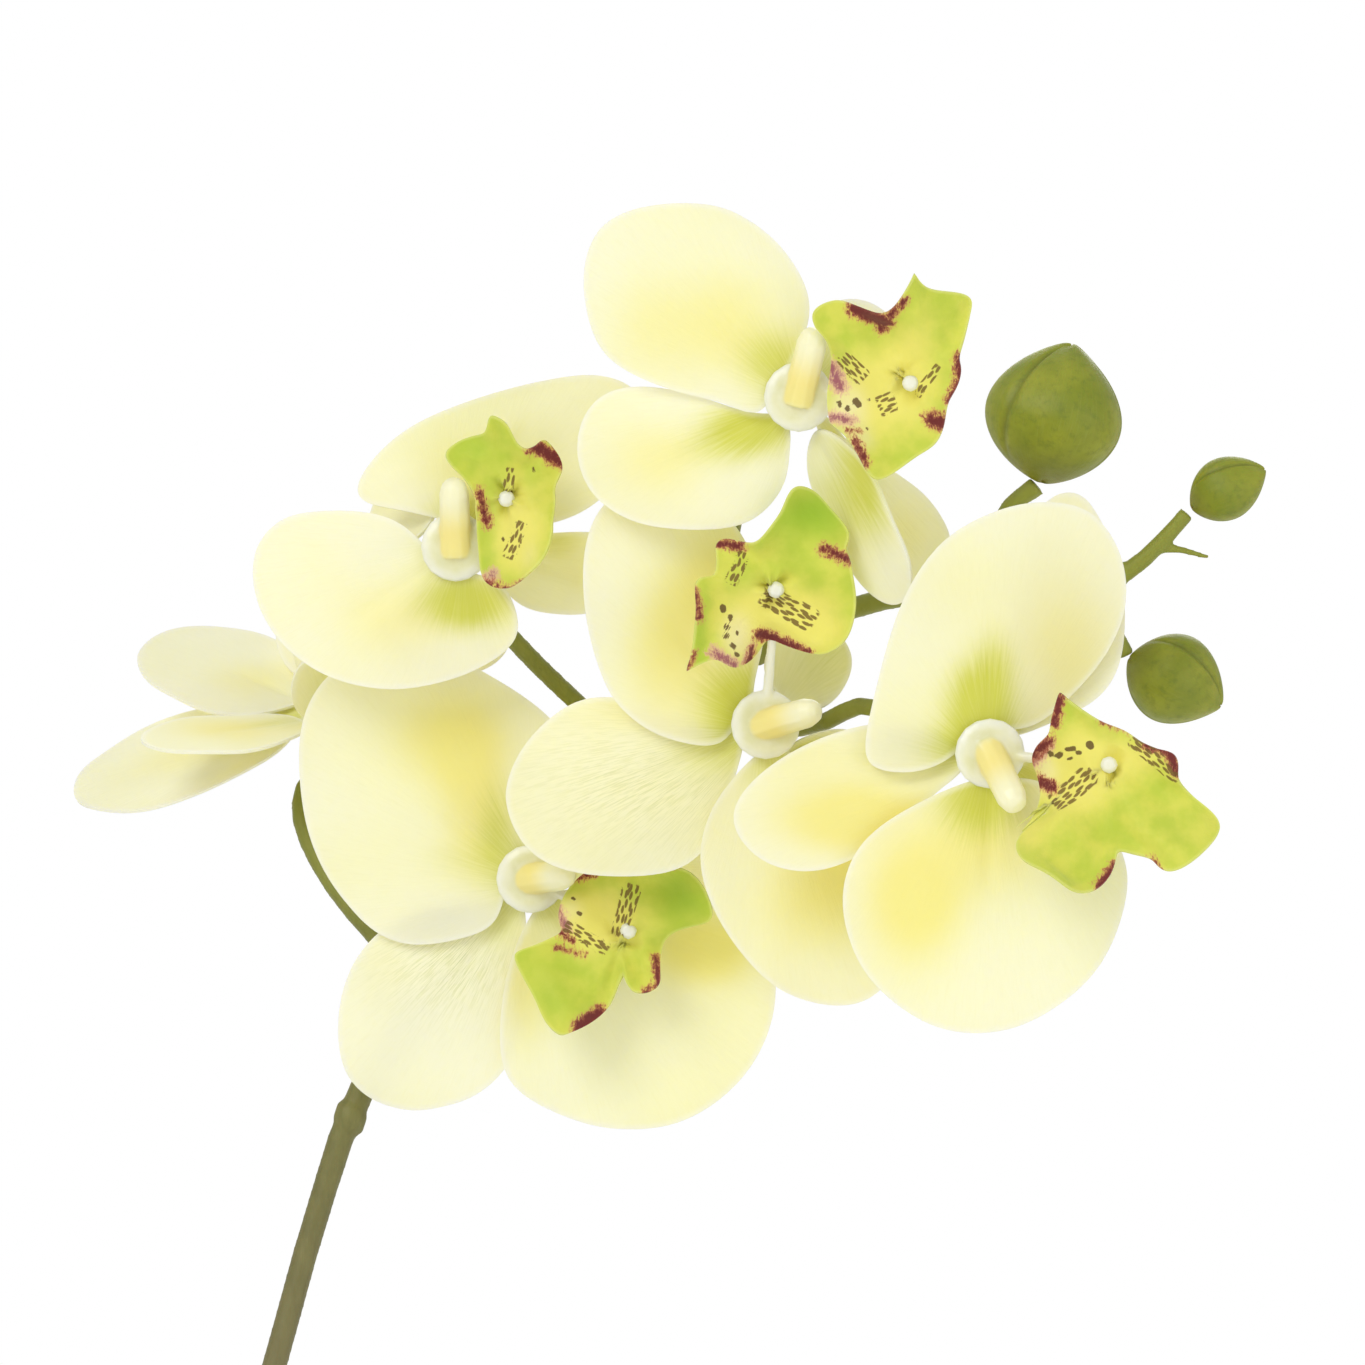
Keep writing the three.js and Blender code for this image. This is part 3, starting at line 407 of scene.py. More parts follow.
# rows of fine brown dashes: middle in mm, half length, half width, the way the rows run in degrees
lipDashes = {
    "flower_1": [(13.4, -5.6, 4.6, 2.0, 38), (27.0, -0.8, 5.6, 1.5, -38)],
    "flower_2": [(8.9, 4.6, 2.9, 1.7, -42), (14.6, -1.4, 1.7, 1.9, 20), (21.4, 2.4, 3.4, 0.8, 52)],
    "flower_3": [(3.6, 20.0, 5.4, 2.2, -30), (-5.0, 26.6, 3.2, 1.1, 68)],
    "flower_4": [(10.4, 1.0, 3.6, 1.2, 64), (9.4, 10.6, 2.8, 1.0, 80)],
    "flower_5": [(9.8, -9.8, 4.6, 1.3, -32), (16.6, -5.0, 5.0, 1.8, 74)],
    "flower_6": [(12, 1.5, 3, 1.2, 0)],
}

columnSettings = {
    "voxel": 0.22 * mm,
    "smoothing": 14,
    "footBack": 2.9 * mm,  # from the hub to the back of the column's foot
    "pegRoot": (0, 0, 3.4),  # this and the next two in plain mm
    "pegSide": (2.9, 3.6),
    "pegStart": (4.6, 5.3),
}

# the way each column's peg leans, in mm: across, up and forward
pegLeans = {
    "flower_1": (3.9, -8.6, 7.5),
    "flower_2": (2.5, 10.5, 4),
    "flower_3": (8, 2.5, 7),
    "flower_4": (0, 10.5, 5),
    "flower_5": (6.5, 1, 8),
    "flower_6": (-3, 0, 10),
}


def flowerAxes(name):  # the hub and facing, from the flat back of the column's foot
    bm = cadMesh(f"{name}_column")
    flats = {}
    for face in bm.faces:
        key = tuple(round(part, 2) for part in face.normal)
        key += (round(face.calc_center_median().dot(face.normal) / mm, 1),)
        flats.setdefault(key, []).append(face)
    back = max(flats.values(), key=lambda faces: sum(face.calc_area() for face in faces))
    area = sum(face.calc_area() for face in back)
    centre = sum((face.calc_center_median() * face.calc_area() for face in back), Vector()) / area
    facing = -back[0].normal.normalized()
    bm.free()
    across = Vector((1, 0, 0)) - facing * facing.x
    across.normalize()
    hub = centre - facing * columnSettings["footBack"]
    axes = {"hub": hub, "facing": facing, "across": across, "up": facing.cross(across)}
    return {key: np.array(value) for key, value in axes.items()}


def frontSkin(node, facing):  # the front surface of a thin sheet, as quads
    bm = cadMesh(node)
    rim = [edge for edge in bm.edges if edge.calc_face_angle(0) > math.radians(60)]
    bmesh.ops.split_edges(bm, edges=rim)
    unseen = set(bm.faces)
    islands = []
    while unseen:
        queue = [unseen.pop()]
        island = []
        while queue:
            face = queue.pop()
            island.append(face)
            near = {other for edge in face.edges for other in edge.link_faces} & unseen
            unseen -= near
            queue += near
        islands.append(island)
    toward = Vector(facing)
    front = max(islands, key=lambda faces: sum(f.calc_area() * f.normal.dot(toward) for f in faces))
    kept = set(front)
    bmesh.ops.delete(bm, geom=[face for face in bm.faces if face not in kept], context="FACES")
    return inQuads(bm)


def fineSkin(name, bm, creasing):  # subdivided, with sharp corners of the outline held by creases
    crease = bm.verts.layers.float.new("crease_vert")
    sharpFrom = 1.35  # the turn, in radians, past which a corner counts as sharp
    for vertex in bm.verts:
        rim = [edge for edge in vertex.link_edges if edge.is_boundary]
        if len(rim) == 2 and creasing:
            one, two = (edge.other_vert(vertex).co - vertex.co for edge in rim)
            turn = math.pi - one.angle(two)
            vertex[crease] = float(np.clip((turn - sharpFrom) * creasing, 0, 0.9))
    skin = objectFrom(name, bm)
    return modified(skin, "SUBSURF", levels=3, render_levels=3, boundary_smooth="ALL")


def rimDistance(mesh):
    sides = np.zeros(len(mesh.edges), int)
    index = {tuple(sorted(edge.vertices)): edge.index for edge in mesh.edges}
    for polygon in mesh.polygons:
        for key in polygon.edge_keys:
            sides[index[tuple(sorted(key))]] += 1
    rim = sorted({v for edge in mesh.edges if sides[edge.index] == 1 for v in edge.vertices})
    tree = kdtree.KDTree(len(rim))
    for vertex in rim:
        tree.insert(mesh.vertices[vertex].co, vertex)
    tree.balance()
    return np.array([tree.find(vertex.co)[2] for vertex in mesh.vertices])


def acrossFlower(points, axes):  # places across the flower's own plane, in mm
    away = (points - axes["hub"]) / mm
    return away @ axes["across"], away @ axes["up"], away @ axes["facing"]


def patchMask(kind, patches, x, z):
    mask = np.zeros(len(x))
    for name, px, pz, rx, rz, strength in patches:
        if name == kind:
            mask += strength * np.exp(-(((x - px) / rx) ** 2) - ((z - pz) / rz) ** 2)
    return np.clip(mask, 0, 1)


def strokeField(kind, strokes, x, z, fade):  # 0.5 at a stroke's edge, more inside it, 0 at one fade outside
    field = np.zeros(len(x))
    for name, fromX, fromZ, toX, toZ, halfWidth in strokes:
        if name == kind:
            runX, runZ = toX - fromX, toZ - fromZ
            share = ((x - fromX) * runX + (z - fromZ) * runZ) / (runX * runX + runZ * runZ)
            share = np.clip(share, 0, 1)
            away = np.hypot(x - fromX - share * runX, z - fromZ - share * runZ) - halfWidth
            field = np.maximum(field, np.clip(0.5 - 0.5 * away / fade, 0, 1))
    return field


def ripple(points, normals, rim, seed):  # three crossing waves that grow towards the rim
    settings = bladeSettings
    rng = random.Random(seed)
    wave = np.zeros(len(points))
    for size in settings["rippleSizes"]:
        way = np.array([rng.uniform(-1, 1) for _ in range(3)])
        way /= np.linalg.norm(way)
        turn = points @ way / (size * mm) * 2 * math.pi + rng.uniform(0, 6)
        wave += np.sin(turn) * size / settings["rippleSizes"][0]
    free = 1 - smoothStep(0, settings["rippleReach"], rim)
    return points + normals * (wave * settings["rippleHeight"] * free)[:, None]


def makeBlade(node, axes, look, seed):
    settings = bladeSettings
    skin = fineSkin(f"{node}_blade", frontSkin(node, axes["facing"]), 0)
    mesh = skin.data
    points, normals = pointsOf(mesh), normalsOf(mesh)
    rim = rimDistance(mesh)
    x, z, _ = acrossFlower(points, axes)
    middle = points.mean(0) - axes["hub"]
    out = middle / np.linalg.norm(middle)
    side = np.cross(normals.mean(0), out)
    side /= np.linalg.norm(side)
    along, over = (points - axes["hub"]) @ out / mm, (points - axes["hub"]) @ side / mm
    points = ripple(points, normals, rim, seed)
    furrow = np.exp(-((over / settings["furrowWidth"]) ** 2))
    furrow *= smoothStep(*settings["furrowRise"], along) * (1 - smoothStep(*settings["furrowFade"], along))
    points -= normals * (settings["furrowDepth"] * furrow)[:, None]
    setPoints(mesh, points)
    patches = bladePatches[node]
    throat = settings["throatStrength"] * np.exp(-((np.hypot(x, z) / settings["throatReach"]) ** 2))
    storeValues(mesh, "green", np.clip(patchMask("green", patches, x, z) + throat, 0, 1))
    storeValues(mesh, "warm", patchMask("warm", patches, x, z))
    storeValues(mesh, "streak", patchMask("streak", patches, x, z))
    storeValues(mesh, "rim", rim / mm)
    storeValues(mesh, "onBlade", np.stack([along, over, np.full(len(along), float(seed))], 1))
    modified(skin, "SOLIDIFY", thickness=settings["thickness"], offset=-1, use_even_offset=False)
    return finishPiece(skin, node, look, sharp=55)


def makeLip(flower, axes, look):
    node = f"{flower}_lip"
    settings = lipSettings
    skin = fineSkin(f"{node}_sheet", frontSkin(node, axes["facing"]), settings["creasing"])
    mesh = skin.data
    points, normals = pointsOf(mesh), normalsOf(mesh)
    x, z, _ = acrossFlower(points, axes)
    rim = rimDistance(mesh)
    curl = settings["curl"] * (1 - smoothStep(0, settings["curlReach"], rim))
    turn = np.arctan2(z - z.mean(), x - x.mean())
    curl *= np.sin(3 * turn + int(flower[-1])) + 0.35 * np.sin(8 * turn)
    folds = settings["fold"] * np.sin((x * 0.8 + z * 0.6) * settings["foldTurn"])
    folds *= smoothStep(0, settings["curlReach"], rim)
    setPoints(mesh, points + normals * (curl + folds)[:, None])
    patches, strokes = lipPatches[flower], lipStrokes[flower]
    # the green mask of a lip is painted shade on its curled flaps
    for kind in ("yellow", "cream", "green"):
        storeValues(mesh, kind, patchMask(kind, patches, x, z))
    storeValues(mesh, "red", strokeField("red", strokes, x, z, settings["blotchFade"]))
    storeValues(mesh, "purple", strokeField("purple", strokes, x, z, settings["blotchFade"]))
    storeValues(mesh, "ink", strokeField("ink", strokes, x, z, settings["inkFade"]))
    storeValues(mesh, "rim", rim / mm)
    storeValues(mesh, "onLip", np.stack([x, z, np.full(len(x), float(flower[-1]))], 1))
    dash = np.zeros((len(x), 3))
    for middleX, middleZ, length, width, degrees in lipDashes[flower]:
        c, s = math.cos(math.radians(degrees)), math.sin(math.radians(degrees))
        run = (x - middleX) * c + (z - middleZ) * s
        over = (z - middleZ) * c - (x - middleX) * s
        mask = (1 - smoothStep(0.75, 1.1, abs(run) / length)) * (1 - smoothStep(0.7, 1.1, abs(over) / width))
        nearer = mask > dash[:, 2]
        dash[nearer] = np.stack([run, over, mask], 1)[nearer]
    storeValues(mesh, "dash", dash)
    modified(skin, "SOLIDIFY", thickness=settings["thickness"], offset=-1, use_even_offset=False)
    return finishPiece(skin, node, look, sharp=60)


def makeColumn(flower, axes, look):
    node = f"{flower}_column"
    settings = columnSettings
    piece = objectFrom(f"{node}_waxy", cadMesh(node))
    modified(piece, "REMESH", mode="VOXEL", voxel_size=settings["voxel"])
    modified(piece, "SMOOTH", factor=0.5, iterations=settings["smoothing"])
    mesh = piece.data
    x, z, height = acrossFlower(pointsOf(mesh), axes)
    lean = np.array(pegLeans[flower])
    spots = np.stack([x, z, height], 1) - np.array(settings["pegRoot"])
    way = lean / np.linalg.norm(lean)
    run = spots @ way
    away = np.linalg.norm(spots - np.clip(run, 0, None)[:, None] * way, axis=1)
    peg = (1 - smoothStep(*settings["pegSide"], away)) * smoothStep(*settings["pegStart"], height)
    storeValues(mesh, "peg", peg)
    storeValues(mesh, "pegRun", np.clip(run / np.linalg.norm(lean), 0, 1))
    storeValues(mesh, "spread", np.hypot(x, z))
    return finishPiece(piece, node, look)


def petalLook():
    look = Look("cream petal", {
        "Subsurface Weight": 0.55, "Subsurface Scale": 0.0022,
        "Subsurface Radius": (1.0, 0.9, 0.45), "Specular IOR Level": 0.35, "Sheen Weight": 0.08,
    })
    place = look.attribute("onBlade", "Vector")
    along, over, _ = look.parts(place)
    angle = look.node("ShaderNodeMath", {"operation": "ARCTAN2"}, {0: over, 1: along + 1.5})
    cloud = look.noise(look.place(), 55, 4, 0.55)
    soft = look.noise(look.place(), 24, 2, 0.5)
    rays = look.noise(look.vector(angle * 16, along * 0.05), 2.2, 4, 0.6, 0.3)
    threads = look.noise(look.vector(angle * 60, along * 0.12), 2.0, 3, 0.6)
    base = look.mix(soft.step(0.3, 0.75), paint(254, 249, 210), paint(252, 245, 192))
    warm = (look.attribute("warm") * (0.9 + 0.4 * cloud)).step(0.0, 0.8)
    base = look.mix(warm, base, paint(250, 233, 146))
    lines = rays.step(0.25, 0.8)
    green = (look.attribute("green") * (0.85 + 0.3 * lines)).step(0.04, 1.05)
    base = look.mix(green, base, paint(202, 204, 84))
    streak = look.attribute("streak") * threads.step(0.42, 0.62) * (0.35 + 0.5 * lines)
    base = look.mix(streak, base, paint(196, 199, 128))
    base = look.mix(threads.step(0.45, 0.75) * 0.1, base, paint(236, 226, 150))
    edge = 1 - look.attribute("rim").step(0.1, 1.3)
    base = look.mix(edge * 0.45, base, paint(253, 250, 226))
    grain = look.noise(look.place(), 900, 3, 0.6)
    relief = look.bump(rays * 0.6 + threads * 0.3 + grain * 0.14, 0.22, 0.0006)
    return look.finish(base, 0.46 + 0.14 * cloud, relief)


def lipLook():
    look = Look("printed lip", {
        "Subsurface Weight": 0.3, "Subsurface Scale": 0.0015, "Subsurface Radius": (1.0, 0.9, 0.3),
        "Specular IOR Level": 0.3, "Sheen Weight": 0.15,
    })
    place = look.attribute("onLip", "Vector")
    x, z, _ = look.parts(place)
    fuzz = look.noise(place, 1.0, 6, 0.7, 0.6)
    fibres = look.noise(look.vector(x * 3.2, z * 1.1), 0.9, 5, 0.7, 0.6)
    cloud = look.noise(place, 0.22, 3, 0.5)
    base = look.mix(cloud.step(0.3, 0.7), paint(190, 205, 70), paint(214, 216, 88))
    # painted shade: darker green where the curled flaps of the lip would be shaded
    base = look.mix(look.attribute("green"), base, paint(160, 192, 48))
    yellow = (look.attribute("yellow") * (0.75 + 0.5 * cloud)).step(0.1, 0.9)
    base = look.mix(yellow, base, paint(236, 226, 112))
    base = look.mix(look.attribute("cream").step(0.1, 1.0) * 0.85, base, paint(243, 232, 178))
    edge = 1 - look.attribute("rim").step(0.05, 0.55)
    base = look.mix(edge * 0.5, base, paint(222, 226, 132))
    ragged = 0.85 * fuzz + 0.85 * fibres - 0.85
    tint = look.attribute("purple") + ragged
    base = look.mix(tint.step(0.28, 0.6) * 0.75, base, paint(228, 176, 156))
    base = look.mix(tint.step(0.48, 0.85) * 0.9, base, paint(150, 76, 96))
    red = look.attribute("red") + ragged
    base = look.mix(red.step(0.3, 0.55) * 0.6, base, paint(212, 150, 100))
    base = look.mix(red.step(0.45, 0.6) * 0.85, base, paint(158, 76, 62))
    base = look.mix(red.step(0.54, 0.76), base, paint(112, 38, 36))
    run, over, inside = look.parts(look.attribute("dash", "Vector"))
    cells = look.node("ShaderNodeTexVoronoi", {"voronoi_dimensions": "2D"},
                      {"Vector": look.vector(run * 0.5 + 0.3 * fuzz, over * 1.5 + 0.25 * fibres),
                       "Scale": 1.0, "Randomness": 0.8}, "Distance")
    dashes = (cells + 0.3 * fuzz).step(0.62, 0.48) * inside.step(0.3, 0.6)
    ink = (look.attribute("ink") + 0.5 * fuzz - 0.25).step(0.4, 0.58)
    base = look.mix(dashes * 0.88, base, paint(112, 84, 36))
    base = look.mix(ink * 0.92, base, paint(98, 72, 34))
    weave = look.noise(look.place(), 1500, 2, 0.5)
    relief = look.bump(weave * 0.5 + fuzz * 0.5, 0.3, 0.0004)
    return look.finish(base, 0.58 + 0.16 * fuzz, relief)


def columnLook():
    look = Look("waxy column", {
        "Subsurface Weight": 0.7, "Subsurface Scale": 0.003, "Subsurface Radius": (1.0, 0.95, 0.7),
        "Specular IOR Level": 0.5, "Coat Weight": 0.15,
    })
    cloud = look.noise(look.place(), 260, 3, 0.5)
    base = look.mix(cloud.step(0.3, 0.7), paint(240, 238, 205), paint(228, 226, 178))
    rim = look.attribute("spread").step(3.6, 5.8)
    base = look.mix(rim * 0.6, base, paint(248, 248, 232))
    peg = look.mix(look.attribute("pegRun").step(0.25, 0.85), paint(246, 230, 146), paint(250, 243, 204))
    base = look.mix(look.attribute("peg"), base, peg)
    relief = look.bump(cloud, 0.12, 0.0005)
    return look.finish(base, 0.28 + 0.12 * cloud, relief)


def makeFlowers():
    petals, lips, columns = petalLook(), lipLook(), columnLook()
    for number in range(1, 7):
        flower = f"flower_{number}"
        axes = flowerAxes(flower)
        blades = sorted(node for node in bladePatches if node.startswith(flower))
        for index, node in enumerate(blades):
            makeBlade(node, axes, petals, 10 * number + index)
        makeLip(flower, axes, lips)
        makeColumn(flower, axes, columns)
        print(f"{flower} made: {len(blades)} blades, a lip and a column")


stemSettings = {
    "voxel": 0.42 * mm,
    "smoothing": 6,
    "brownedTo": (0.5, 0.78),  # where the brown skin fades, as shares of the height
    "freshFrom": (0.72, 0.8),  # the arch turns green here
    "freshTip": (0.11, 0.17),  # and greener towards the buds, in metres across
}


def stemLook():
    look = Look("olive stem", {
        "Subsurface Weight": 0.1, "Subsurface Scale": 0.001, "Specular IOR Level": 0.4,
    })
    x, y, z = look.parts(look.place())
    stretched = look.vector(x * 900, y * 900, z * 120)
    streaks = look.noise(stretched, 1.0, 4, 0.6)
    cloud = look.noise(look.place(), 90, 4, 0.6)
    base = look.mix(cloud.step(0.3, 0.7), paint(112, 110, 52), paint(132, 130, 66))
    base = look.mix(streaks.step(0.4, 0.75) * 0.5, base, paint(94, 96, 40))
    base = look.mix(look.attribute("browned") * (0.5 + 0.6 * cloud), base, paint(122, 112, 78))
    base = look.mix(look.attribute("fresh") * 0.8, base, paint(150, 156, 56))
    relief = look.bump(streaks * 0.8 + cloud * 0.5, 0.45, 0.0005)
    return look.finish(base, 0.42 + 0.2 * cloud, relief)


def budLook():
    look = Look("olive bud", {
        "Subsurface Weight": 0.15, "Subsurface Scale": 0.0015, "Specular IOR Level": 0.45,
    })
    turn, rise, seam = look.parts(look.attribute("onBud", "Vector"))
    fine = look.noise(look.place(), 620, 4, 0.65)
    cloud = look.noise(look.place(), 110, 3, 0.5)
    streaks = look.noise(look.vector(turn * 30, rise * 2.5), 1.6, 4, 0.6)
    base = look.mix(cloud.step(0.3, 0.7), paint(130, 140, 26), paint(156, 160, 42))
    base = look.mix(fine.step(0.45, 0.75) * 0.5, base, paint(100, 116, 28))
    base = look.mix(streaks.step(0.5, 0.8) * 0.35, base, paint(160, 162, 78))
    base = look.mix(seam * 0.5, base, paint(98, 104, 34))
    base = look.mix(rise.step(0.3, 0.0) * 0.5, base, paint(128, 122, 34))
    relief = look.bump(fine * 0.7 + streaks * 0.4, 0.35, 0.0005)
    return look.finish(base, 0.36 + 0.2 * fine, relief)


def makeStem():
    piece = objectFrom("flower_stem_grown", cadMesh("flower_stem"))
    modified(piece, "REMESH", mode="VOXEL", voxel_size=stemSettings["voxel"])
    modified(piece, "SMOOTH", factor=0.5, iterations=stemSettings["smoothing"])
    mesh = piece.data
    points = pointsOf(mesh)
    low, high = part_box("flower_stem")
    rise = (points[:, 2] - low.z) / (high.z - low.z)
    arch = smoothStep(*stemSettings["freshFrom"], rise)
    tip = smoothStep(*stemSettings["freshTip"], points[:, 0])
    storeValues(mesh, "browned", 1 - smoothStep(*stemSettings["brownedTo"], rise))
    storeValues(mesh, "fresh", 0.6 * arch + 0.4 * tip)
    finishPiece(piece, "flower_stem", stemLook())
    print("flower stem made")


budSettings = {
    "fullLength": 24 * mm,  # a shorter bud has shallower seams
    "seamDepth": 0.55 * mm,
    "seamTurns": (0.4, 2.6, 4.5),  # these three in radians round the bud
    "seamLean": 0.35,
    "seamWidth": 0.07,
    "swell": 0.25 * mm,
}


def makeBud(node, look):
    bm = cadMesh(node)
    ends = sorted(bm.verts, key=lambda vertex: -len(vertex.link_edges))[:2]
    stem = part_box("flower_stem")
    ends.sort(key=lambda vertex: (vertex.co - (stem[0] + stem[1]) / 2).length)
    base, tip = (np.array(vertex.co) for vertex in ends)
    piece = modified(objectFrom(f"{node}_closed", inQuads(bm)), "SUBSURF", levels=3, render_levels=3)
    mesh = piece.data
    points, normals = pointsOf(mesh), normalsOf(mesh)
    length = np.linalg.norm(tip - base)
    way = (tip - base) / length
    sideways = np.cross(way, [0, 1, 0])
    sideways /= np.linalg.norm(sideways)
    third = np.cross(way, sideways)
    rise = (points - base) @ way / length
    turn = np.arctan2((points - base) @ third, (points - base) @ sideways)
    seam = np.zeros(len(points))
    for place in budSettings["seamTurns"]:
        drift = budSettings["seamLean"] * np.sin(rise * 2.6)
        gap = np.angle(np.exp(1j * (turn - place - drift)))
        seam = np.maximum(seam, np.exp(-((gap / budSettings["seamWidth"]) ** 2)))
    seam *= smoothStep(0.06, 0.3, rise) * (1 - smoothStep(0.9, 1.0, rise))
    swell = budSettings["swell"] * np.sin(3 * turn + 2 * rise)
    size = length / budSettings["fullLength"]
    points += normals * ((swell - budSettings["seamDepth"] * seam) * size)[:, None]
    setPoints(mesh, points)
    storeValues(mesh, "onBud", np.stack([np.cos(turn), rise, seam], 1))
    finishPiece(piece, node, look)


def makeBuds():
    look = budLook()
    for number in range(1, 4):
        makeBud(f"bud_{number}", look)
    print("buds made")


leafSettings = {
    "midribDepth": 1.1 * mm,
    "midribWidth": 1.6 * mm,
    "stations": 41,  # places along a leaf where its width is measured
    "footPoints": 12,  # the points nearest the stem, which mark a leaf's foot
    "riseFrom": 15 * mm,  # a leaf's way up is read between these two from its foot
    "riseTo": 25 * mm,
    "sheathReach": 18 * mm,  # how far up the leaf its sheath is drawn from
    "sheathSink": 1.2 * mm,  # how far the sheath goes into the bark
    "sheathSpread": 0.45 * mm,  # each older leaf's sheath stands this much further out
}


def leafLook():
    look = Look("strap leaf", {
        "Subsurface Weight": 0.08, "Subsurface Scale": 0.001, "Specular IOR Level": 0.5,
        "Coat Weight": 0.12,
    })
    along, over, edge = look.parts(look.attribute("onLeaf", "Vector"))
    veins = look.noise(look.vector(over * 34, along * 1.2), 1.5, 4, 0.6, 0.1)
    cloud = look.noise(look.place(), 28, 4, 0.55)
    fine = look.noise(look.place(), 420, 3, 0.6)
    base = look.mix(cloud.step(0.3, 0.72), paint(62, 92, 34), paint(86, 118, 46))
    base = look.mix(veins.step(0.45, 0.7) * 0.35, base, paint(104, 134, 60))
    rib = 1 - edge.step(0.0, 0.09)
    base = look.mix(rib * 0.55, base, paint(122, 146, 74))
    base = look.mix(edge.step(0.9, 1.0) * 0.4, base, paint(120, 120, 62))
    base = look.mix(along.step(0.16, 0.0) * 0.6, base, paint(132, 148, 78))
    relief = look.bump(veins * 0.8 + fine * 0.2, 0.3, 0.0008)
    return look.finish(base, 0.3 + 0.16 * cloud, relief)


def drawSheath(points, older):  # the base drawn down round the stem and into the bark
    settings = leafSettings
    reach = np.hypot(points[:, 0], points[:, 1])
    foot = points[np.argsort(reach)[:settings["footPoints"]]].mean(0)
    away = np.linalg.norm(points - foot, axis=1)
    rise = points[(away > settings["riseFrom"]) & (away < settings["riseTo"])].mean(0) - foot
    climb = (points - foot) @ rise / np.linalg.norm(rise)
    share = 1 - smoothStep(0, settings["sheathReach"], climb)
    depth = foot[2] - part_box("growing_medium")[1].z + settings["sheathSink"]
    points[:, 2] -= depth * share
    points[:, :2] *= (1 + settings["sheathSpread"] * older * share / np.maximum(reach, mm))[:, None]


def makeLeaf(node, look):
    bm = inQuads(cadMesh(node))
    piece = modified(objectFrom(f"{node}_strap", bm), "SUBSURF", levels=3, render_levels=3)
    mesh = piece.data
    points, normals = pointsOf(mesh), normalsOf(mesh)
    flat = points[:, :2]
    tip = flat[np.argmax(np.hypot(*flat.T))]
    reach = np.linalg.norm(tip)
    out = flat[np.hypot(*flat.T) > 0.5 * reach].mean(0)
    out /= np.linalg.norm(out)
    along = flat @ out / reach
    over = flat @ np.array([-out[1], out[0]])
    rib = np.exp(-((over / leafSettings["midribWidth"]) ** 2)) * smoothStep(0.03, 0.2, along)
    upper = np.sign(normals[:, 2])
    points[:, 2] -= leafSettings["midribDepth"] * rib * (1 - smoothStep(0.85, 1.0, along))
    stations = np.linspace(0, 1, leafSettings["stations"])
    halfWidths = [abs(over[abs(along - station) < 0.03]).max(initial=mm) for station in stations]
    share = abs(over) / np.interp(along, stations, halfWidths)
    drawSheath(points, 6 - int(node[-1]))
    setPoints(mesh, points)
    storeValues(mesh, "onLeaf", np.stack([along, over / (20 * mm) + upper * 3, share], 1))
    finishPiece(piece, node, look)


def makeLeaves():
    look = leafLook()
    for number in range(1, 6):
        makeLeaf(f"leaf_{number}", look)
    print("leaves made")


potSettings = {"crease": 0.7, "creaseAngle": 28}


def potLook():
    look = Look("white glaze", {"Specular IOR Level": 0.5, "Coat Weight": 0.35, "Coat Roughness": 0.12})
    _, _, z = look.parts(look.place())
    cloud = look.noise(look.place(), 16, 4, 0.55)
    speck = look.noise(look.place(), 520, 2, 0.5)
    rings = look.noise(look.vector(0.0, 0.0, z * 260), 1.0, 2, 0.5)
    base = look.mix(cloud.step(0.3, 0.7), paint(238, 236, 229), paint(229, 226, 217))
    base = look.mix(speck.step(0.68, 0.78) * 0.35, base, paint(172, 160, 140))
    foot = 1 - z.step(0.0014, 0.0026)
    base = look.mix(foot * 0.9, base, paint(206, 190, 166))  # the foot is left bare of glaze
    relief = look.bump(rings * 0.6 + cloud * 0.4, 0.14, 0.001)
    return look.finish(base, 0.16 + 0.1 * cloud + foot * 0.4, relief)


def makePot():
    bm = inQuads(cadMesh("pot"), bend=40)
    crease = bm.edges.layers.float.new("crease_edge")
    for edge in bm.edges:
        if edge.calc_face_angle(0) > math.radians(potSettings["creaseAngle"]):
            edge[crease] = potSettings["crease"]
    piece = modified(objectFrom("pot_glazed", bm), "SUBSURF", levels=3, render_levels=3)
    finishPiece(piece, "pot", potLook())
    print("pot made")


barkSettings = {
    "kinds": 5,
    "length": 13 * mm,
    "spacing": 4.2 * mm,
    "density": 42000,
    "smallest": 0.55,
    "largest": 1.15,
    "wallClearance": 7 * mm,
    "topDepth": 6 * mm,  # the chips grow on faces this near the bark's top
    "lift": 0.8 * mm,
    "bedTint": 0.15,
    "sides": 7,
    "layers": ((-0.11, 0.82), (0.0, 1.0), (0.12, 0.78)),  # height and size, as shares of the length
    "seed": 7,
}


def barkLook():
    look = Look("bark", {"Specular IOR Level": 0.25})
    x, y, z = look.parts(look.place())
    grain = look.noise(look.vector(x * 160, y * 420, z * 700), 1.0, 5, 0.65)
    cloud = look.noise(look.place(), 210, 3, 0.6)
    tint = look.attribute("chipTint")
    base = look.mix(tint, paint(92, 60, 38), paint(146, 104, 68))
    base = look.mix(grain.step(0.4, 0.7) * 0.6, base, paint(66, 42, 28))
    base = look.mix(cloud.step(0.55, 0.8) * 0.4, base, paint(168, 132, 94))
    relief = look.bump(grain + cloud * 0.4, 0.7, 0.001)
    return look.finish(base, 0.78 + 0.16 * cloud, relief)


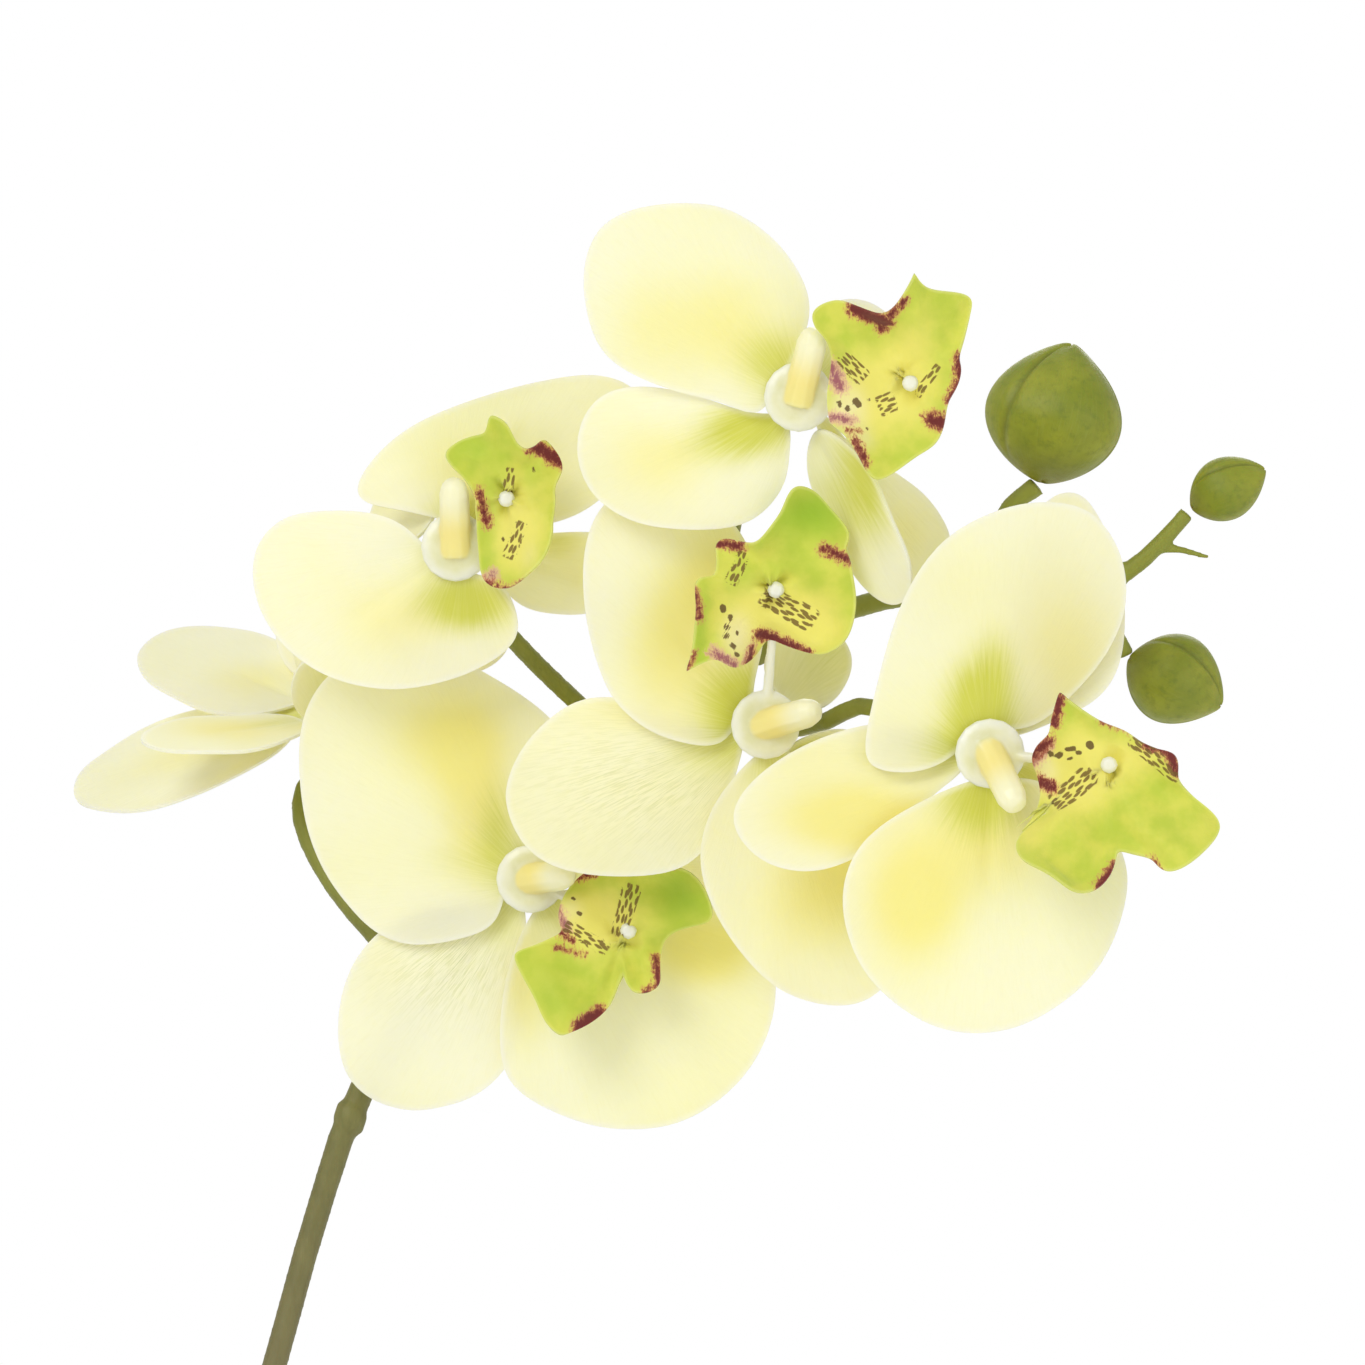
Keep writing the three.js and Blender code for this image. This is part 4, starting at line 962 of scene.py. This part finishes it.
def barkChip(number, rng):  # a flat, ragged flake
    bm = bmesh.new()
    length, sides = barkSettings["length"], barkSettings["sides"]
    rings = []
    for height, size in barkSettings["layers"]:
        ring = []
        for side in range(sides):
            turn = 2 * math.pi * (side + rng.uniform(-0.25, 0.25)) / sides
            reach = length / 2 * size * rng.uniform(0.8, 1.1)
            spot = (reach * math.cos(turn), 0.62 * reach * math.sin(turn),
                    length * (height + rng.uniform(-0.03, 0.03)))
            ring.append(bm.verts.new(spot))
        rings.append(ring)
    for lower, upper in zip(rings, rings[1:]):
        for side in range(sides):
            after = (side + 1) % sides
            bm.faces.new((lower[side], lower[after], upper[after], upper[side]))
    bm.faces.new(rings[0][::-1])
    bm.faces.new(rings[-1])
    bmesh.ops.triangulate(bm, faces=bm.faces)
    return objectFrom(f"chip{number}", bm)


class Grower:  # a Geometry Nodes tree under construction
    def __init__(self, name, inputs):
        self.tree = bpy.data.node_groups.new(name, "GeometryNodeTree")
        face = self.tree.interface
        face.new_socket("Geometry", in_out="INPUT", socket_type="NodeSocketGeometry")
        self.inputs = {}
        for label, kind in inputs.items():
            socket = face.new_socket(label, in_out="INPUT", socket_type=f"NodeSocket{kind}")
            self.inputs[label] = socket.identifier
        face.new_socket("Geometry", in_out="OUTPUT", socket_type="NodeSocketGeometry")
        self.start = self.tree.nodes.new("NodeGroupInput")
        self.end = self.tree.nodes.new("NodeGroupOutput")

    def node(self, kind, settings=None, inputs=None):
        made = self.tree.nodes.new(kind)
        for setting, value in (settings or {}).items():
            setattr(made, setting, value)
        for key, value in (inputs or {}).items():
            if isinstance(value, bpy.types.NodeSocket):
                self.tree.links.new(value, made.inputs[key])
            else:
                made.inputs[key].default_value = value
        return made

    def run(self, source, name, values):
        modifier = source.modifiers.new(name, "NODES")
        modifier.node_group = self.tree
        for label, value in values.items():
            modifier[self.inputs[label]] = value
        graph = bpy.context.evaluated_depsgraph_get()
        mesh = bpy.data.meshes.new_from_object(source.evaluated_get(graph))
        source.modifiers.clear()
        return mesh


def barkTree():
    inputs = {"Chips": "Collection", "Spacing": "Float", "Density": "Float", "Seed": "Int",
              "Smallest": "Float", "Largest": "Float", "Material": "Material"}
    grow = Grower("scatter bark", inputs)
    given = grow.start.outputs
    points = grow.node("GeometryNodeDistributePointsOnFaces", {"distribute_method": "POISSON"}, {
        "Mesh": given["Geometry"], "Distance Min": given["Spacing"],
        "Density Max": given["Density"], "Seed": given["Seed"]})
    chips = grow.node("GeometryNodeCollectionInfo", inputs={
        "Collection": given["Chips"], "Separate Children": True, "Reset Children": True})
    turn = grow.node("FunctionNodeRandomValue", {"data_type": "FLOAT_VECTOR"}, {
        "Min": (-0.5, -0.5, 0.0), "Max": (0.5, 0.5, 6.283), "Seed": given["Seed"]})
    size = grow.node("FunctionNodeRandomValue", {"data_type": "FLOAT"}, {
        2: given["Smallest"], 3: given["Largest"], "Seed": given["Seed"]})
    placed = grow.node("GeometryNodeInstanceOnPoints", inputs={
        "Points": points.outputs["Points"], "Instance": chips.outputs[0], "Pick Instance": True,
        "Rotation": turn.outputs[0], "Scale": size.outputs[1]})
    tint = grow.node("FunctionNodeRandomValue", {"data_type": "FLOAT"}, {"Seed": 3})
    named = grow.node("GeometryNodeStoreNamedAttribute", {"data_type": "FLOAT", "domain": "INSTANCE"}, {
        "Geometry": placed.outputs[0], "Name": "chipTint", "Value": tint.outputs[1]})
    real = grow.node("GeometryNodeRealizeInstances", inputs={"Geometry": named.outputs[0]})
    dressed = grow.node("GeometryNodeSetMaterial", inputs={
        "Geometry": real.outputs[0], "Material": given["Material"]})
    grow.tree.links.new(dressed.outputs[0], grow.end.inputs[0])
    return grow


def makeMedium():
    settings = barkSettings
    look = barkLook()
    rng = random.Random(settings["seed"])
    bm = cadMesh("growing_medium")
    bmesh.ops.subdivide_edges(bm, edges=bm.edges[:], cuts=1, use_grid_fill=True)
    bed = objectFrom("growing_medium_bed", bm)
    storeValues(bed.data, "chipTint", [settings["bedTint"]] * len(bed.data.vertices))
    finishPiece(bed, "growing_medium", look, sharp=40)
    top = cadMesh("growing_medium")
    low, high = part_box("growing_medium")
    reach = (high.x - low.x) / 2 - settings["wallClearance"]
    topLine = high.z - settings["topDepth"]
    stale = [face for face in top.faces if face.normal.z < 0.5 or face.calc_center_median().z < topLine]
    bmesh.ops.delete(top, geom=stale, context="FACES")
    for vertex in top.verts:
        away = math.hypot(vertex.co.x, vertex.co.y)
        if away > reach:
            vertex.co.x *= reach / away
            vertex.co.y *= reach / away
        vertex.co.z += settings["lift"]
    field = objectFrom("chip_field", top)
    chips = bpy.data.collections.new("chips")
    for number in range(settings["kinds"]):
        chip = barkChip(number, rng)
        bpy.context.scene.collection.objects.unlink(chip)
        chips.objects.link(chip)
    grow = barkTree()
    mesh = grow.run(field, "scatter", {
        "Chips": chips, "Spacing": settings["spacing"], "Density": float(settings["density"]),
        "Seed": settings["seed"], "Smallest": settings["smallest"], "Largest": settings["largest"],
        "Material": look})
    bpy.data.objects.remove(field)
    for chip in list(chips.objects):
        bpy.data.objects.remove(chip)
    bpy.data.collections.remove(chips)
    scattered = objectFrom("bark_chips", mesh)
    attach(scattered, "root")
    print(f"growing medium made: {len(mesh.polygons)} chip faces")


studioSettings = {
    "cameraAt": (0.1035, -2.2, 0.446),
    "frameWidth": 0.232,
    "aimY": -0.015,
    "floorRadius": 4.0,
    "floorGlow": 0.08,
    "worldLight": 0.6,
    # each light: where it stands, what it aims at, its size in metres and its power
    "lights": {
        "key": ((-0.9, -1.5, 1.6), (0.1, 0, 0.42), 1.2, 15.5),
        "fill": ((1.4, -1.3, 0.7), (0.1, 0, 0.4), 1.4, 5),
        "back": ((0.3, 1.6, 1.2), (0.1, 0, 0.42), 1.2, 8),
    },
}


def makeFloor():
    bm = bmesh.new()
    bmesh.ops.create_circle(bm, cap_ends=True, segments=96, radius=studioSettings["floorRadius"])
    floor = objectFrom("floor", bm)
    glow = {"Emission Color": (1, 1, 1, 1), "Emission Strength": studioSettings["floorGlow"]}
    look = Look("pale floor", glow)
    cloud = look.noise(look.place(), 3, 3, 0.5)
    look.finish(look.mix(cloud, paint(243, 243, 243), paint(247, 247, 247)), 0.75 + 0.1 * cloud)
    floor.data.materials.append(look.material)


def makeLight(name, place, aim, size, power):
    lamp = bpy.data.lights.new(name, "AREA")
    lamp.shape = "DISK"
    lamp.size = size
    lamp.energy = power
    light = bpy.data.objects.new(name, lamp)
    light.location = place
    light.rotation_euler = (Vector(aim) - Vector(place)).to_track_quat("-Z", "Y").to_euler()
    bpy.context.scene.collection.objects.link(light)


def makeWorld():
    world = bpy.data.worlds.new("white studio")
    bpy.context.scene.world = world
    world.use_nodes = True
    tree = world.node_tree
    tree.nodes.clear()
    seen = tree.nodes.new("ShaderNodeBackground")
    light = tree.nodes.new("ShaderNodeBackground")
    light.inputs["Strength"].default_value = studioSettings["worldLight"]
    for background in (seen, light):
        background.inputs["Color"].default_value = (1, 1, 1, 1)
    ray = tree.nodes.new("ShaderNodeLightPath")
    mix = tree.nodes.new("ShaderNodeMixShader")
    output = tree.nodes.new("ShaderNodeOutputWorld")
    tree.links.new(ray.outputs["Is Camera Ray"], mix.inputs[0])
    tree.links.new(light.outputs[0], mix.inputs[1])
    tree.links.new(seen.outputs[0], mix.inputs[2])
    tree.links.new(mix.outputs[0], output.inputs["Surface"])


def makeCamera():
    lens = bpy.data.cameras.new("camera")
    camera = bpy.data.objects.new("camera", lens)
    bpy.context.scene.collection.objects.link(camera)
    x, y, z = studioSettings["cameraAt"]
    camera.location = (x, y, z)
    camera.rotation_euler = (math.radians(90), 0, 0)
    lens.sensor_width = 36
    lens.lens = lens.sensor_width * (studioSettings["aimY"] - y) / studioSettings["frameWidth"]
    lens.clip_start, lens.clip_end = 0.05, 50
    bpy.context.scene.camera = camera


def makeStudio():
    makeFloor()
    makeWorld()
    for name, light in studioSettings["lights"].items():
        makeLight(name, *light)
    makeCamera()
    view = bpy.context.scene.view_settings
    view.view_transform = "Standard"
    view.look = "None"


makeStudio()
makeFlowers()
makeStem()
makeBuds()
makeLeaves()
makePot()
makeMedium()
